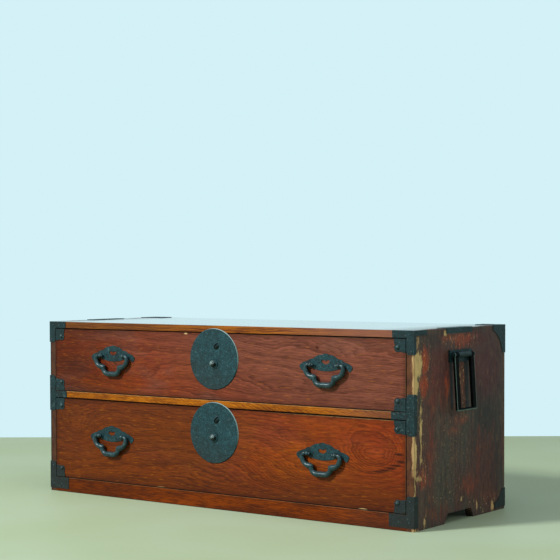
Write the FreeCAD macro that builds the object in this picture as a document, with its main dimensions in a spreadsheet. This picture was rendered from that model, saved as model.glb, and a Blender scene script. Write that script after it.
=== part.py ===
"""A two-drawer clothing chest of the isho kind, with iron lock discs and bracken handles.

Millimetres, +Z up, +X to the viewer's right, front towards -Y. The origin is on the floor, midway
between the two sides and midway between the foremost handle and the back. Case pieces are drawn from
the front face of the case (y = 0 there) and are placed by front_y.
"""
import FreeCAD
import Part
import os
import re
import Sketcher
from FreeCAD import Placement, Rotation, Vector

doc = FreeCAD.newDocument("IshoChest")

SIZES = [
    # case
    ("case_width", 1140),
    ("case_depth", 430),
    ("case_height", 455),
    ("side_thickness", 19.5),
    ("top_thickness", 17),
    ("bottom_rail_height", 38),
    ("bottom_rail_depth", 22),
    ("bottom_thickness", 12),
    ("lower_opening_share", 0.56),
    ("mid_rail_height", 17),
    ("mid_rail_depth", 30),
    ("dust_thickness", 9),
    ("housing_depth", 7),
    ("housing_setback", 6),
    ("back_thickness", 7),
    ("back_rebate", 8),
    ("overrun", 5),
    # foot notch of the side boards
    ("fitting_depth", 205),
    ("notch_foot_width", 137),
    ("notch_head_width", 111),
    ("notch_height", 23),
    # drawers
    ("drawer_side_gap", 1.8),
    ("drawer_top_gap", 2.3),
    ("front_foot_gap", 1.4),
    ("running_gap", 0.4),
    ("front_thickness", 20),
    ("front_lap", 10),
    ("wall_thickness", 12),
    ("wall_drop", 7),
    ("drawer_back_thickness", 11),
    ("drawer_bottom_thickness", 8),
    ("stop_width", 40),
    ("stop_depth", 12),
    ("stop_height", 12),
    # sheet irons
    ("iron_thickness", 1.3),
    ("leg_end_radius", 8),
    ("flange_end_radius", 5),
    ("top_iron_arm", 57),
    ("top_iron_leg", 55),
    ("top_iron_wrap", 8.5),
    ("top_iron_side_reach", 56),
    ("edge_band", 12),
    ("mid_iron_arm", 60),
    ("mid_iron_wrap", 12),
    ("mid_iron_lift", 2.5),
    ("mid_iron_reach", 47),
    ("bottom_iron_arm", 66),
    ("bottom_iron_wrap", 17),
    ("bottom_iron_leg", 80),
    ("bottom_iron_lift", 8),
    ("strap_length", 122),
    ("strap_top_reach", 26),
    ("back_iron_side", 62),
    ("back_iron_leg", 68),
    ("back_iron_band", 14),
    ("back_iron_top", 60),
    ("back_foot_iron", 52),
    ("back_foot_lift", 6),
    # drawer corner irons and their dome nails
    ("corner_iron", 31),
    ("corner_iron_end", 8),
    ("nail_inset", 21),
    ("nail_lift", 2),
    ("nail_lobe_radius", 9.5),
    ("nail_lobe_opening", 30),
    ("nail_head_radius", 5.2),
    ("nail_head_height", 4.4),
    ("nail_shank_radius", 1.4),
    ("nail_shank_length", 12),
    ("nail_clearance", 0.1),
    # lock
    ("lock_x", -5),
    ("disc_share", 0.4584),
    ("upper_lock_share", 0.8382),
    ("lower_lock_share", 0.7987),
    ("disc_thickness", 2.4),
    ("disc_bevel", 1.5),
    ("washer_radius", 13),
    ("washer_height", 1.8),
    ("button_drop", 11),
    ("button_radius", 7.6),
    ("button_stand", 7),
    ("button_dome", 4.6),
    ("button_travel", 4),
    ("button_clearance", 0.08),
    ("stem_radius", 3.5),
    ("hood_side", 8),
    ("hood_rise", 33),
    ("hood_radius", 9.5),
    ("hood_crown_radius", 4.6),
    ("hood_height", 4.6),
    ("slit_width", 2.6),
    ("slit_length", 17),
    ("slit_tilt", 37),
    ("key_bore_radius", 6.4),
    ("lock_case_width", 74),
    ("lock_case_rise", 52),
    ("lock_case_fall", 22),
    ("lock_case_depth", 11),
    ("lock_case_wall", 2),
    ("bolt_width", 25),
    ("bolt_thickness", 5),
    ("bolt_stroke", 9),
    ("bolt_clearance", 0.4),
    ("bolt_tail", 14),
    # drawer handles
    ("upper_handle_left_share", -0.6233),
    ("upper_handle_right_share", 0.6014),
    ("upper_handle_share", 0.4023),
    ("lower_handle_left_share", -0.6324),
    ("lower_handle_right_share", 0.5841),
    ("lower_handle_share", 0.4292),
    ("plate_half_width", 75),
    ("plate_rise", 27),
    ("plate_fall", 14.3),
    ("plate_thickness", 1.5),
    ("heart_half_width", 11.8),
    ("heart_base", 1.5),
    ("heart_height", 10.5),
    ("post_half_width", 39.5),
    ("post_standoff", 7.6),
    ("post_ball_radius", 5.6),
    ("post_shank_radius", 2.7),
    ("post_clearance", 0.1),
    ("clinch_radius", 7),
    ("clinch_thickness", 1.4),
    ("clinch_half_length", 13),
    ("pin_radius", 3.1),
    ("pin_clearance", 0.08),
    ("pin_tail", 2.4),
    ("pin_shoulder", 0.4),
    ("bail_bend_radius", 8),
    ("bail_lobe_radius", 20.3),
    ("lobe_sweep", 75),
    ("waist_half_width", 27.8),
    ("bail_drop", 46.8),
    ("bail_root_radius", 4),
    ("bail_lobe_radius_end", 6.9),
    ("bail_waist_radius", 6.2),
    ("bail_grip_radius", 7.3),
    # carrying handles on the two sides
    ("carry_pivot_drop", 62),
    ("carry_width", 90),
    ("carry_plate_half", 52),
    ("carry_plate_thickness", 5),
    ("carry_plate_rise", 11),
    ("carry_plate_fall", 17),
    ("carry_axis_standoff", 11),
    ("carry_barrel_radius", 6.5),
    ("carry_pin_radius", 3),
    ("carry_pin_head", 5),
    ("carry_pin_head_length", 2),
    ("carry_pin_clearance", 0.08),
    ("carry_gap", 0.3),
    ("carry_arm_width", 16.5),
    ("carry_arm_thickness", 6.5),
    ("carry_eye_radius", 5.6),
    ("carry_drop", 128),
    ("carry_kick", 8),
    ("carry_bar_radius", 3.6),
]


def arc_radius(half, rise):
    """The radius of an arc that rises by this much over half its chord."""
    return "((%s) * (%s) + (%s) * (%s)) / (2 * (%s))" % (half, half, rise, rise, rise)


# sizes that follow from the ones above, each written as the sum that gives it
PLACES = [
    ("half_width", "case_width / 2"),
    ("inner_half", "case_width / 2 - side_thickness"),
    ("front_reach", "post_standoff + bail_grip_radius"),
    ("front_y", "(front_reach - iron_thickness - case_depth) / 2"),
    ("top_under", "case_height - top_thickness"),
    ("openings_height", "top_under - mid_rail_height - bottom_rail_height"),
    ("mid_rail_bottom", "bottom_rail_height + lower_opening_share * openings_height"),
    ("mid_rail_top", "mid_rail_bottom + mid_rail_height"),
    ("back_board_foot", "bottom_rail_height - bottom_thickness"),
    ("back_board_height", "(top_under - back_board_foot) / 2"),
    ("box_finger", "case_depth / 7"),
    ("drawer_half", "inner_half - drawer_side_gap"),
    ("drawer_depth", "case_depth - back_thickness - stop_depth"),
    ("upper_z", "mid_rail_top + running_gap"),
    ("upper_height", "top_under - drawer_top_gap - upper_z"),
    ("lower_z", "bottom_rail_height + running_gap"),
    ("lower_height", "mid_rail_bottom - drawer_top_gap - lower_z"),
    ("disc_radius", "disc_share * upper_height"),
    ("upper_lock_drop", "upper_lock_share * disc_radius"),
    ("lower_lock_drop", "lower_lock_share * disc_radius"),
    ("upper_handle_drop", "upper_handle_share * upper_height"),
    ("lower_handle_drop", "lower_handle_share * lower_height"),
    ("upper_handle_left_x", "upper_handle_left_share * drawer_half"),
    ("upper_handle_right_x", "upper_handle_right_share * drawer_half"),
    ("lower_handle_left_x", "lower_handle_left_share * drawer_half"),
    ("lower_handle_right_x", "lower_handle_right_share * drawer_half"),
    ("bolt_y", "front_thickness - lock_case_wall - bolt_clearance - bolt_thickness"),
    ("bolt_half", "bolt_width / 2"),
    ("mortise_half", "lock_case_width / 2"),
    ("button_bore", "button_radius + button_clearance"),
    ("post_bore", "post_shank_radius + post_clearance"),
    ("nail_bore", "nail_shank_radius + nail_clearance"),
    ("bend_x", "post_half_width + post_ball_radius + pin_shoulder"),
    ("lobe_x", "bend_x + bail_bend_radius"),
    ("lobe_foot_x", "lobe_x - bail_lobe_radius"),
    ("lobe_end_x", "lobe_foot_x + bail_lobe_radius * cos(lobe_sweep)"),
    ("lobe_end_drop", "bail_bend_radius + bail_lobe_radius * sin(lobe_sweep)"),
    ("waist_drop", "lobe_end_drop + (lobe_end_x - waist_half_width) / tan(lobe_sweep)"),
    ("waist_turn", "-(lobe_sweep + 180) / 2"),
    ("waist_mitre", "lobe_sweep / 2"),
    ("grip_bend", "bail_drop - waist_drop"),
    ("grip_corner_x", "waist_half_width - grip_bend"),
    ("carry_pivot_height", "case_height - carry_pivot_drop"),
    ("carry_half", "carry_width / 2"),
    ("carry_inner", "carry_half - carry_arm_width"),
]


def fill_sheet(name, rows, formula):
    """One spreadsheet: the value in column A under the alias that column B repeats."""
    sheet = doc.addObject("Spreadsheet::Sheet", name)
    for index, (alias, entry) in enumerate(rows):
        cell = "A" + str(index + 1)
        sheet.set(cell, "=" + spell(entry) if formula else str(entry))
        sheet.setAlias(cell, alias)
        sheet.set("B" + str(index + 1), "'" + alias)
    doc.recompute()
    return sheet


OWNER = {alias: "Sizes." for alias, entry in SIZES}


def spell(expression):
    """Write the sheet's name in front of each alias in an expression."""
    return re.sub(r"[a-z_]+", lambda word: OWNER.get(word[0], "") + word[0], expression)


sizes_sheet = fill_sheet("Sizes", SIZES, False)
places_sheet = doc.addObject("Spreadsheet::Sheet", "Places")
for row, (alias, entry) in enumerate(PLACES):
    places_sheet.set("A" + str(row + 1), "=" + spell(entry).replace("Places.", ""))
    places_sheet.setAlias("A" + str(row + 1), alias)
    places_sheet.set("B" + str(row + 1), "'" + alias)
    OWNER[alias] = "Places."
doc.recompute()


def value(expression):
    """The present number that an expression stands for."""
    return float(places_sheet.evalExpression(spell(expression)))


def less(expression):
    """The same length to the other side."""
    return "-(" + expression + ")"


def new_body(label, at=("0", "0", "0")):
    """An empty body whose origin is bound to the three expressions in at."""
    made = doc.addObject("PartDesign::Body", label)
    made.Label = label
    made.AllowCompound = True
    for axis, expression in zip("xyz", at):
        made.setExpression("Placement.Base." + axis, spell(expression))
    return made


def new_sketch(body, role, lift="0"):
    """A sketch on one of the body's own planes, lifted along that plane's normal."""
    sketch = body.newObject("Sketcher::SketchObject", body.Label + "_sketch")
    base = [plane for plane in body.Origin.OriginFeatures if plane.Role == role][0]
    sketch.AttachmentSupport = [(base, "")]
    sketch.MapMode = "FlatFace"
    sketch.AttachmentOffset = Placement(Vector(0, 0, value(lift)), Rotation())
    sketch.setExpression("AttachmentOffset.Base.z", spell(lift))
    return sketch


def hold(sketch, kind, geometry, point, expression):
    """Tie one coordinate of a point to an expression."""
    tie = Sketcher.Constraint(kind, -1, 1, geometry, point, value(expression))
    number = sketch.addConstraint(tie)
    sketch.setExpression("Constraints[%d]" % number, spell(expression))


def hold_radius(sketch, geometry, expression):
    """Tie a radius to an expression."""
    number = sketch.addConstraint(Sketcher.Constraint("Radius", geometry, value(expression)))
    sketch.setExpression("Constraints[%d]" % number, spell(expression))


def arc_through(start, end, radius, left):
    """The shorter arc of this radius from start to end, with its centre to the left or right."""
    chord = end - start
    half = chord.Length / 2
    reach = max(radius * radius - half * half, 0) ** 0.5
    side = Vector(-chord.y, chord.x, 0).normalize()
    centre = (start + end) / 2 + side * (reach if left else -reach)
    first = (start - centre).getAngle(Vector(1, 0, 0))
    first = first if start.y >= centre.y else -first
    last = (end - centre).getAngle(Vector(1, 0, 0))
    last = last if end.y >= centre.y else -last
    circle = Part.Circle(centre, Vector(0, 0, 1), radius)
    if left:
        return Part.ArcOfCircle(circle, first, last), 1, 2
    return Part.ArcOfCircle(circle, last, first), 2, 1


def outline(sketch, corners, closed=True):
    """Lines and arcs through corners, all held by expressions.

    A corner is (x, y), or (x, y, radius, side) where an arc of that radius leads on from it with its
    centre on that side.
    """
    points = [Vector(value(corner[0]), value(corner[1]), 0) for corner in corners]
    count = len(corners)
    spans = count if closed else count - 1
    ends = []
    first = sketch.GeometryCount
    for index in range(spans):
        start = points[index]
        end = points[(index + 1) % count]
        if len(corners[index]) == 2:
            sketch.addGeometry(Part.LineSegment(start, end), False)
            ends.append((1, 2))
        else:
            radius, side = corners[index][2:]
            arc, tail, head = arc_through(start, end, value(radius), side == "left")
            sketch.addGeometry(arc, False)
            ends.append((tail, head))
    for index in range(spans):
        tail, head = ends[index]
        following = index + 1
        if following < spans or closed:
            step = first + following % spans
            sketch.addConstraint(
                Sketcher.Constraint("Coincident", first + index, head, step, ends[following % spans][0])
            )
        hold(sketch, "DistanceX", first + index, tail, corners[index][0])
        hold(sketch, "DistanceY", first + index, tail, corners[index][1])
        if len(corners[index]) > 2:
            hold_radius(sketch, first + index, corners[index][2])
    if not closed:
        hold(sketch, "DistanceX", first + spans - 1, ends[-1][1], corners[-1][0])
        hold(sketch, "DistanceY", first + spans - 1, ends[-1][1], corners[-1][1])


def rectangle(sketch, low_x, low_y, high_x, high_y):
    """A rectangle between two corners."""
    outline(sketch, [(low_x, low_y), (high_x, low_y), (high_x, high_y), (low_x, high_y)])


def circle(sketch, x, y, radius):
    """A circle about a point."""
    number = sketch.GeometryCount
    centre = Vector(value(x), value(y), 0)
    sketch.addGeometry(Part.Circle(centre, Vector(0, 0, 1), value(radius)), False)
    hold(sketch, "DistanceX", number, 3, x)
    hold(sketch, "DistanceY", number, 3, y)
    hold_radius(sketch, number, radius)


def volume(body):
    """The body's volume, or nothing for an empty one."""
    return 0 if body.Shape.isNull() else body.Shape.Volume


def feature(body, kind, sketch, grows):
    """A feature made from a sketch, and a note of the volume before it."""
    made = body.newObject("PartDesign::" + kind, body.Label + "_" + kind.lower())
    made.Profile = sketch
    sketch.Visibility = False
    made.addProperty("App::PropertyFloat", "Before")
    made.addProperty("App::PropertyBool", "Grows")
    made.Before = volume(body)
    made.Grows = grows
    return made


def settle(body, made):
    """Recompute, and refuse a feature that failed or changed the volume the wrong way."""
    doc.recompute()
    change = volume(body) - made.Before
    if "Invalid" in made.State or (change > 0) != made.Grows or change == 0:
        raise RuntimeError(made.Label + " didn't work")
    return made


def pad(body, sketch, length, back=False, both=False):
    """A pad along the sketch's normal, against it, or to both sides."""
    made = feature(body, "Pad", sketch, True)
    made.Reversed = back
    made.Midplane = both
    made.setExpression("Length", spell(length))
    return settle(body, made)


def pocket(body, sketch, depth, along=False):
    """A pocket against the sketch's normal, or along it."""
    made = feature(body, "Pocket", sketch, False)
    made.Reversed = along
    made.setExpression("Length", spell(depth))
    return settle(body, made)


def revolve(body, sketch):
    """A full turn about the sketch's own vertical axis."""
    made = feature(body, "Revolution", sketch, True)
    made.ReferenceAxis = (sketch, ["V_Axis"])
    made.Angle = 360
    return settle(body, made)


def repeat(body, original, role, span, count):
    """A row of count copies of a feature, span from the first to the last."""
    made = body.newObject("PartDesign::LinearPattern", body.Label + "_row")
    made.Originals = [original]
    axis = [line for line in body.Origin.OriginFeatures if line.Role == role][0]
    made.Direction = (axis, [""])
    made.setExpression("Length", spell(span))
    made.Occurrences = count
    body.Tip = made
    doc.recompute()
    return made


def mirror(body, originals, role):
    """The same features again on the other side of one of the body's planes."""
    made = body.newObject("PartDesign::Mirrored", body.Label + "_mirror")
    made.Originals = originals
    base = [plane for plane in body.Origin.OriginFeatures if plane.Role == role][0]
    made.MirrorPlane = (base, [""])
    body.Tip = made
    doc.recompute()
    return made


NODES = []


# the right half of a handle plate from its crown to the middle of its foot: the share of the half
# width, the share of the rise or fall, and the radius as a share of the half width and its side
CLOUD_SHARES = [
    (0, 1, 0.265, "right"),
    (0.14, 0.89, 0.43, "right"),
    (0.46, 0.54, 0.3, "right"),
    (0.693, 0.296, 0.52, "right"),
    (0.96, 0.02, 0.078, "right"),
    (0.965, -0.66, 0.1, "right"),
    (0.88, -1, 0.3, "left"),
    (0.62, -0.31, 1.52, "right"),
    (0, -1, 1.52, "right"),
]


# the heart in a handle plate from its foot round to the right: the share of its half width, the share
# of its height and the radius that leads on, as a share of the half width
HEART_SHARES = [
    (0, 0, 1.3),
    (1, 0.62, 0.36),
    (0.5, 1, 0.7),
    (0, 0.76, 0.7),
    (-0.5, 1, 0.36),
    (-1, 0.62, 1.3),
]


def keep(piece):
    """Put a finished piece on the list of nodes."""
    NODES.append(piece)
    return piece


def other_hand(source, label):
    """The mirror image of a piece on the other side of the chest."""
    made = doc.addObject("Part::Mirroring", label)
    made.Label = label
    made.Source = source
    made.Normal = Vector(1, 0, 0)
    return keep(made)


def group(label, pieces):
    """Like pieces that share one node, each a solid of its own."""
    made = doc.addObject("Part::Compound", label)
    made.Label = label
    made.Links = pieces
    return keep(made)


def both_hands(label, at=("0", "0", "0")):
    """A body for the right-hand piece; its left-hand twin follows from it later."""
    return keep(new_body(label + "_right", at))


# case boards

FRONT = ("0", "front_y", "0")
WALL = ("inner_half", "front_y", "0")
CORNER = ("half_width", "front_y", "0")


def make_top_board():
    """The top, box-jointed to the sides, with the mortise for the upper bolt."""
    board = keep(new_body("top_board", ("0", "front_y", "top_under")))
    face = new_sketch(board, "XY_Plane")
    rectangle(face, "-half_width", "0", "half_width", "case_depth")
    pad(board, face, "top_thickness")
    sockets = new_sketch(board, "XY_Plane")
    rectangle(sockets, "inner_half", "box_finger", "half_width + overrun", "2 * box_finger")
    rectangle(sockets, "-half_width - overrun", "box_finger", "-inner_half", "2 * box_finger")
    socket = pocket(board, sockets, "top_thickness", along=True)
    repeat(board, socket, "Y_Axis", "4 * box_finger", 3)
    cut_bolt_mortise(board, "0")


def cut_bolt_mortise(board, lift):
    """The blind hole that a raised bolt stands in, cut up from the underside of a rail."""
    mouth = new_sketch(board, "XY_Plane", lift)
    rectangle(
        mouth,
        "lock_x - bolt_half - 2 * bolt_clearance",
        "bolt_y - 2 * bolt_clearance",
        "lock_x + bolt_half + 2 * bolt_clearance",
        "bolt_y + bolt_thickness + 2 * bolt_clearance",
    )
    pocket(board, mouth, "bolt_stroke + bolt_clearance", along=True)


def make_side_boards():
    """The sides, with a foot notch, grooves for the two floors and a rebate for the back."""
    board = keep(new_body("side_board_right", WALL))
    face = new_sketch(board, "YZ_Plane")
    outline(
        face,
        [
            ("0", "0"),
            ("fitting_depth - notch_foot_width / 2", "0"),
            ("fitting_depth - notch_head_width / 2", "notch_height"),
            ("fitting_depth + notch_head_width / 2", "notch_height"),
            ("fitting_depth + notch_foot_width / 2", "0"),
            ("case_depth", "0"),
            ("case_depth", "case_height"),
            ("0", "case_height"),
        ],
    )
    pad(board, face, "side_thickness")
    fingers = new_sketch(board, "YZ_Plane")
    rectangle(fingers, "0", "top_under", "box_finger", "case_height + overrun")
    socket = pocket(board, fingers, "side_thickness", along=True)
    repeat(board, socket, "Y_Axis", "6 * box_finger", 4)
    grooves = new_sketch(board, "YZ_Plane")
    rear = "case_depth - back_thickness"
    rectangle(grooves, "housing_setback", "mid_rail_top - dust_thickness", rear, "mid_rail_top")
    rectangle(grooves, "housing_setback", "back_board_foot", rear, "bottom_rail_height")
    pocket(board, grooves, "housing_depth", along=True)
    rebate = new_sketch(board, "YZ_Plane")
    rectangle(rebate, rear, "back_board_foot", "case_depth + overrun", "top_under")
    pocket(board, rebate, "back_rebate", along=True)
    other_hand(board, "side_board_left")


def make_rail(label, foot, height, depth, tongue):
    """A front rail with a tongue at each end that enters the side's groove."""
    rail = keep(new_body(label, ("0", "front_y", foot)))
    plan = new_sketch(rail, "XY_Plane")
    rectangle(plan, "-inner_half", "0", "inner_half", depth)
    pad(rail, plan, height)
    tongues = new_sketch(rail, "XY_Plane", height)
    reach = "inner_half + housing_depth"
    rectangle(tongues, "inner_half", "housing_setback", reach, depth)
    rectangle(tongues, less(reach), "housing_setback", "-inner_half", depth)
    pad(rail, tongues, tongue, back=True)
    return rail


def make_floor(label, top, thickness, front):
    """A floor board behind a rail, its ends in the grooves of the sides."""
    board = keep(new_body(label, ("0", "front_y", top + " - " + thickness)))
    plan = new_sketch(board, "XY_Plane")
    reach = "inner_half + housing_depth"
    rectangle(plan, less(reach), front, reach, "case_depth - back_thickness")
    pad(board, plan, thickness)


def make_back_boards():
    """Two thin boards, one over the other, in the rebate of the sides."""
    for label, steps in (("back_board_lower", "0"), ("back_board_upper", "1")):
        foot = "back_board_foot + " + steps + " * back_board_height"
        board = keep(new_body(label, ("0", "front_y", foot)))
        face = new_sketch(board, "XZ_Plane", "-case_depth")
        reach = "inner_half + back_rebate"
        rectangle(face, less(reach), "0", reach, "back_board_height")
        pad(board, face, "back_thickness")


def make_drawer_stops():
    """Four blocks glued at the back of the two floors, which the drawers come to rest on."""
    stops = keep(new_body("drawer_stops", FRONT))
    for floor in ("mid_rail_top", "bottom_rail_height"):
        plan = new_sketch(stops, "XY_Plane", floor)
        for near in ("inner_half", "-inner_half + stop_width"):
            rectangle(
                plan,
                near + " - stop_width",
                "drawer_depth",
                near,
                "drawer_depth + stop_depth",
            )
        pad(stops, plan, "stop_height")


# sheet irons of the case

leg_end = ("leg_end_radius", "left")
flange_end = ("flange_end_radius", "left")


def make_top_corner_irons():
    """A corner iron on the top front corner: arm on the top's edge, leg on the side's edge."""
    iron = both_hands("top_corner_iron", CORNER)
    front = new_sketch(iron, "XZ_Plane")
    outline(
        front,
        [
            ("iron_thickness", "case_height"),
            ("-top_iron_arm", "case_height"),
            ("-top_iron_arm", "top_under"),
            ("-side_thickness", "top_under"),
            ("-side_thickness", "case_height - top_iron_leg + leg_end_radius") + leg_end,
            ("leg_end_radius - side_thickness", "case_height - top_iron_leg"),
            ("iron_thickness", "case_height - top_iron_leg"),
        ],
    )
    pad(iron, front, "iron_thickness")
    side = new_sketch(iron, "YZ_Plane")
    outline(
        side,
        [
            ("0", "case_height"),
            ("0", "case_height - top_iron_leg"),
            ("top_iron_wrap - flange_end_radius", "case_height - top_iron_leg") + flange_end,
            ("top_iron_wrap", "case_height - top_iron_leg + flange_end_radius"),
            ("top_iron_wrap", "case_height - edge_band"),
            ("top_iron_side_reach", "case_height - edge_band"),
            ("top_iron_side_reach", "case_height"),
        ],
    )
    pad(iron, side, "iron_thickness")
    other_hand(iron, "top_corner_iron_left")


def make_mid_irons():
    """A T iron where the middle rail meets the side."""
    iron = both_hands("mid_iron", CORNER)
    centre = "mid_rail_bottom + mid_rail_height / 2 + mid_iron_lift"
    low = centre + " - mid_iron_reach"
    high = centre + " + mid_iron_reach"
    front = new_sketch(iron, "XZ_Plane")
    outline(
        front,
        [
            ("iron_thickness", high),
            ("leg_end_radius - side_thickness", high) + leg_end,
            ("-side_thickness", high + " - leg_end_radius"),
            ("-side_thickness", "mid_rail_top"),
            ("-mid_iron_arm", "mid_rail_top"),
            ("-mid_iron_arm", "mid_rail_bottom"),
            ("-side_thickness", "mid_rail_bottom"),
            ("-side_thickness", low + " + leg_end_radius") + leg_end,
            ("leg_end_radius - side_thickness", low),
            ("iron_thickness", low),
        ],
    )
    pad(iron, front, "iron_thickness")
    side = new_sketch(iron, "YZ_Plane")
    outline(
        side,
        [
            ("0", low),
            ("mid_iron_wrap - flange_end_radius", low) + flange_end,
            ("mid_iron_wrap", low + " + flange_end_radius"),
            ("mid_iron_wrap", high + " - flange_end_radius") + flange_end,
            ("mid_iron_wrap - flange_end_radius", high),
            ("0", high),
        ],
    )
    pad(iron, side, "iron_thickness")
    other_hand(iron, "mid_iron_left")


def make_bottom_corner_irons():
    """A corner iron on the bottom front corner: arm on the bottom rail, leg on the side's edge."""
    iron = both_hands("bottom_corner_iron", CORNER)
    front = new_sketch(iron, "XZ_Plane")
    outline(
        front,
        [
            ("iron_thickness", "bottom_iron_lift"),
            ("iron_thickness", "bottom_iron_leg"),
            ("leg_end_radius - side_thickness", "bottom_iron_leg") + leg_end,
            ("-side_thickness", "bottom_iron_leg - leg_end_radius"),
            ("-side_thickness", "bottom_rail_height"),
            ("-bottom_iron_arm", "bottom_rail_height"),
            ("-bottom_iron_arm", "bottom_iron_lift"),
        ],
    )
    pad(iron, front, "iron_thickness")
    side = new_sketch(iron, "YZ_Plane")
    outline(
        side,
        [
            ("0", "bottom_iron_lift"),
            ("bottom_iron_wrap", "bottom_iron_lift"),
            ("bottom_iron_wrap", "bottom_iron_leg - flange_end_radius") + flange_end,
            ("bottom_iron_wrap - flange_end_radius", "bottom_iron_leg"),
            ("0", "bottom_iron_leg"),
        ],
    )
    pad(iron, side, "iron_thickness")
    other_hand(iron, "bottom_corner_iron_left")


def make_side_straps():
    """A strap folded over the edge between side and top, above the carrying handle."""
    strap = both_hands("side_strap", CORNER)
    near = "fitting_depth - strap_length / 2"
    far = "fitting_depth + strap_length / 2"
    side = new_sketch(strap, "YZ_Plane")
    rectangle(side, near, "case_height - edge_band", far, "case_height + iron_thickness")
    pad(strap, side, "iron_thickness")
    over = new_sketch(strap, "XY_Plane", "case_height")
    rectangle(over, "-strap_top_reach", near, "iron_thickness", far)
    pad(strap, over, "iron_thickness")
    other_hand(strap, "side_strap_left")


def make_back_top_irons():
    """A corner iron on the top back corner, hollowed towards its legs, folded onto three faces."""
    iron = both_hands("back_top_iron", CORNER)
    high = "case_height + iron_thickness"
    rear = "case_depth + iron_thickness"
    side = new_sketch(iron, "YZ_Plane")
    outline(
        side,
        [
            (rear, high),
            ("case_depth - back_iron_side", high),
            ("case_depth - back_iron_side", "case_height - edge_band", "back_iron_leg", "right"),
            ("case_depth - back_iron_band", "case_height - back_iron_leg"),
            (rear, "case_height - back_iron_leg"),
        ],
    )
    pad(iron, side, "iron_thickness")
    over = new_sketch(iron, "XY_Plane", "case_height")
    rectangle(over, "-back_iron_top", "case_depth - 3 * back_iron_band", "iron_thickness", rear)
    pad(iron, over, "iron_thickness")
    behind = new_sketch(iron, "XZ_Plane", "-case_depth")
    outline(
        behind,
        [
            ("iron_thickness", high),
            ("-back_iron_top", high),
            ("-back_iron_top", "case_height - top_thickness"),
            ("-side_thickness", "case_height - top_thickness"),
            ("-side_thickness", "case_height - back_iron_leg"),
            ("iron_thickness", "case_height - back_iron_leg"),
        ],
    )
    pad(iron, behind, "iron_thickness", back=True)
    other_hand(iron, "back_top_iron_left")


def make_back_foot_irons():
    """A corner iron round the foot of the back corner."""
    iron = both_hands("back_foot_iron", CORNER)
    rear = "case_depth + iron_thickness"
    side = new_sketch(iron, "YZ_Plane")
    outline(
        side,
        [
            (rear, "back_foot_lift"),
            (rear, "back_foot_iron"),
            ("case_depth - back_iron_band", "back_foot_iron", "back_foot_iron", "right"),
            ("case_depth - back_foot_iron", "back_foot_lift + back_iron_band"),
            ("case_depth - back_foot_iron", "back_foot_lift"),
        ],
    )
    pad(iron, side, "iron_thickness")
    behind = new_sketch(iron, "XZ_Plane", "-case_depth")
    rectangle(behind, "-side_thickness", "back_foot_lift", "iron_thickness", "back_foot_iron")
    pad(iron, behind, "iron_thickness", back=True)
    other_hand(iron, "back_foot_iron_left")


# carrying handles on the sides


def make_carrying_mounts():
    """A wide hinge plate with a barrel between the bail's arms, and the pin through it."""
    at = ("half_width", "front_y + fitting_depth", "carry_pivot_height")
    plate = new_body("carrying_plate", at)
    face = new_sketch(plate, "YZ_Plane")
    rectangle(
        face, "-carry_plate_half", "-carry_plate_fall", "carry_plate_half", "carry_plate_rise"
    )
    pad(plate, face, "carry_plate_thickness")
    barrel = new_sketch(plate, "XZ_Plane")
    circle(barrel, "carry_axis_standoff", "0", "carry_barrel_radius")
    pad(plate, barrel, "2 * carry_inner - 2 * carry_gap", both=True)
    bore = new_sketch(plate, "XZ_Plane", "carry_half")
    circle(bore, "carry_axis_standoff", "0", "carry_pin_radius")
    pocket(plate, bore, "carry_width")
    pin = new_body("carrying_pin", at)
    rod = new_sketch(pin, "XZ_Plane")
    circle(rod, "carry_axis_standoff", "0", "carry_pin_radius")
    pad(pin, rod, "carry_width + 2 * carry_gap", both=True)
    for lift, back in (("carry_half + carry_gap", False), ("-carry_half - carry_gap", True)):
        head = new_sketch(pin, "XZ_Plane", lift)
        circle(head, "carry_axis_standoff", "0", "carry_pin_head")
        pad(pin, head, "carry_pin_head_length", back=back)
    group("carrying_mount_right", [plate, pin])
    other_hand(doc.getObject("carrying_mount_right"), "carrying_mount_left")


def make_carrying_bails():
    """A bail of two flat arms that hangs with its foot kicked out, and its slim grip bar."""
    at = ("half_width + carry_axis_standoff", "front_y + fitting_depth", "carry_pivot_height")
    bail = both_hands("carrying_bail", at)
    half = "carry_arm_thickness / 2"
    arm = new_sketch(bail, "XZ_Plane", "carry_inner")
    outline(
        arm,
        [
            (less(half), "0"),
            ("carry_kick - " + half, "-carry_drop"),
            ("carry_kick + " + half, "-carry_drop"),
            (half, "0"),
        ],
    )
    arm_pad = pad(bail, arm, "carry_arm_width")
    eye = new_sketch(bail, "XZ_Plane", "carry_inner")
    circle(eye, "0", "0", "carry_eye_radius")
    eye_pad = pad(bail, eye, "carry_arm_width")
    mirror(bail, [arm_pad, eye_pad], "XZ_Plane")
    grip = new_sketch(bail, "XZ_Plane")
    circle(grip, "carry_kick", "-carry_drop", "carry_bar_radius")
    pad(bail, grip, "carry_width", both=True)
    bore = new_sketch(bail, "XZ_Plane", "carry_half + overrun")
    circle(bore, "0", "0", "carry_pin_radius + carry_pin_clearance")
    pocket(bail, bore, "carry_width + 2 * overrun")
    other_hand(bail, "carrying_bail_left")


# drawers


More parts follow.
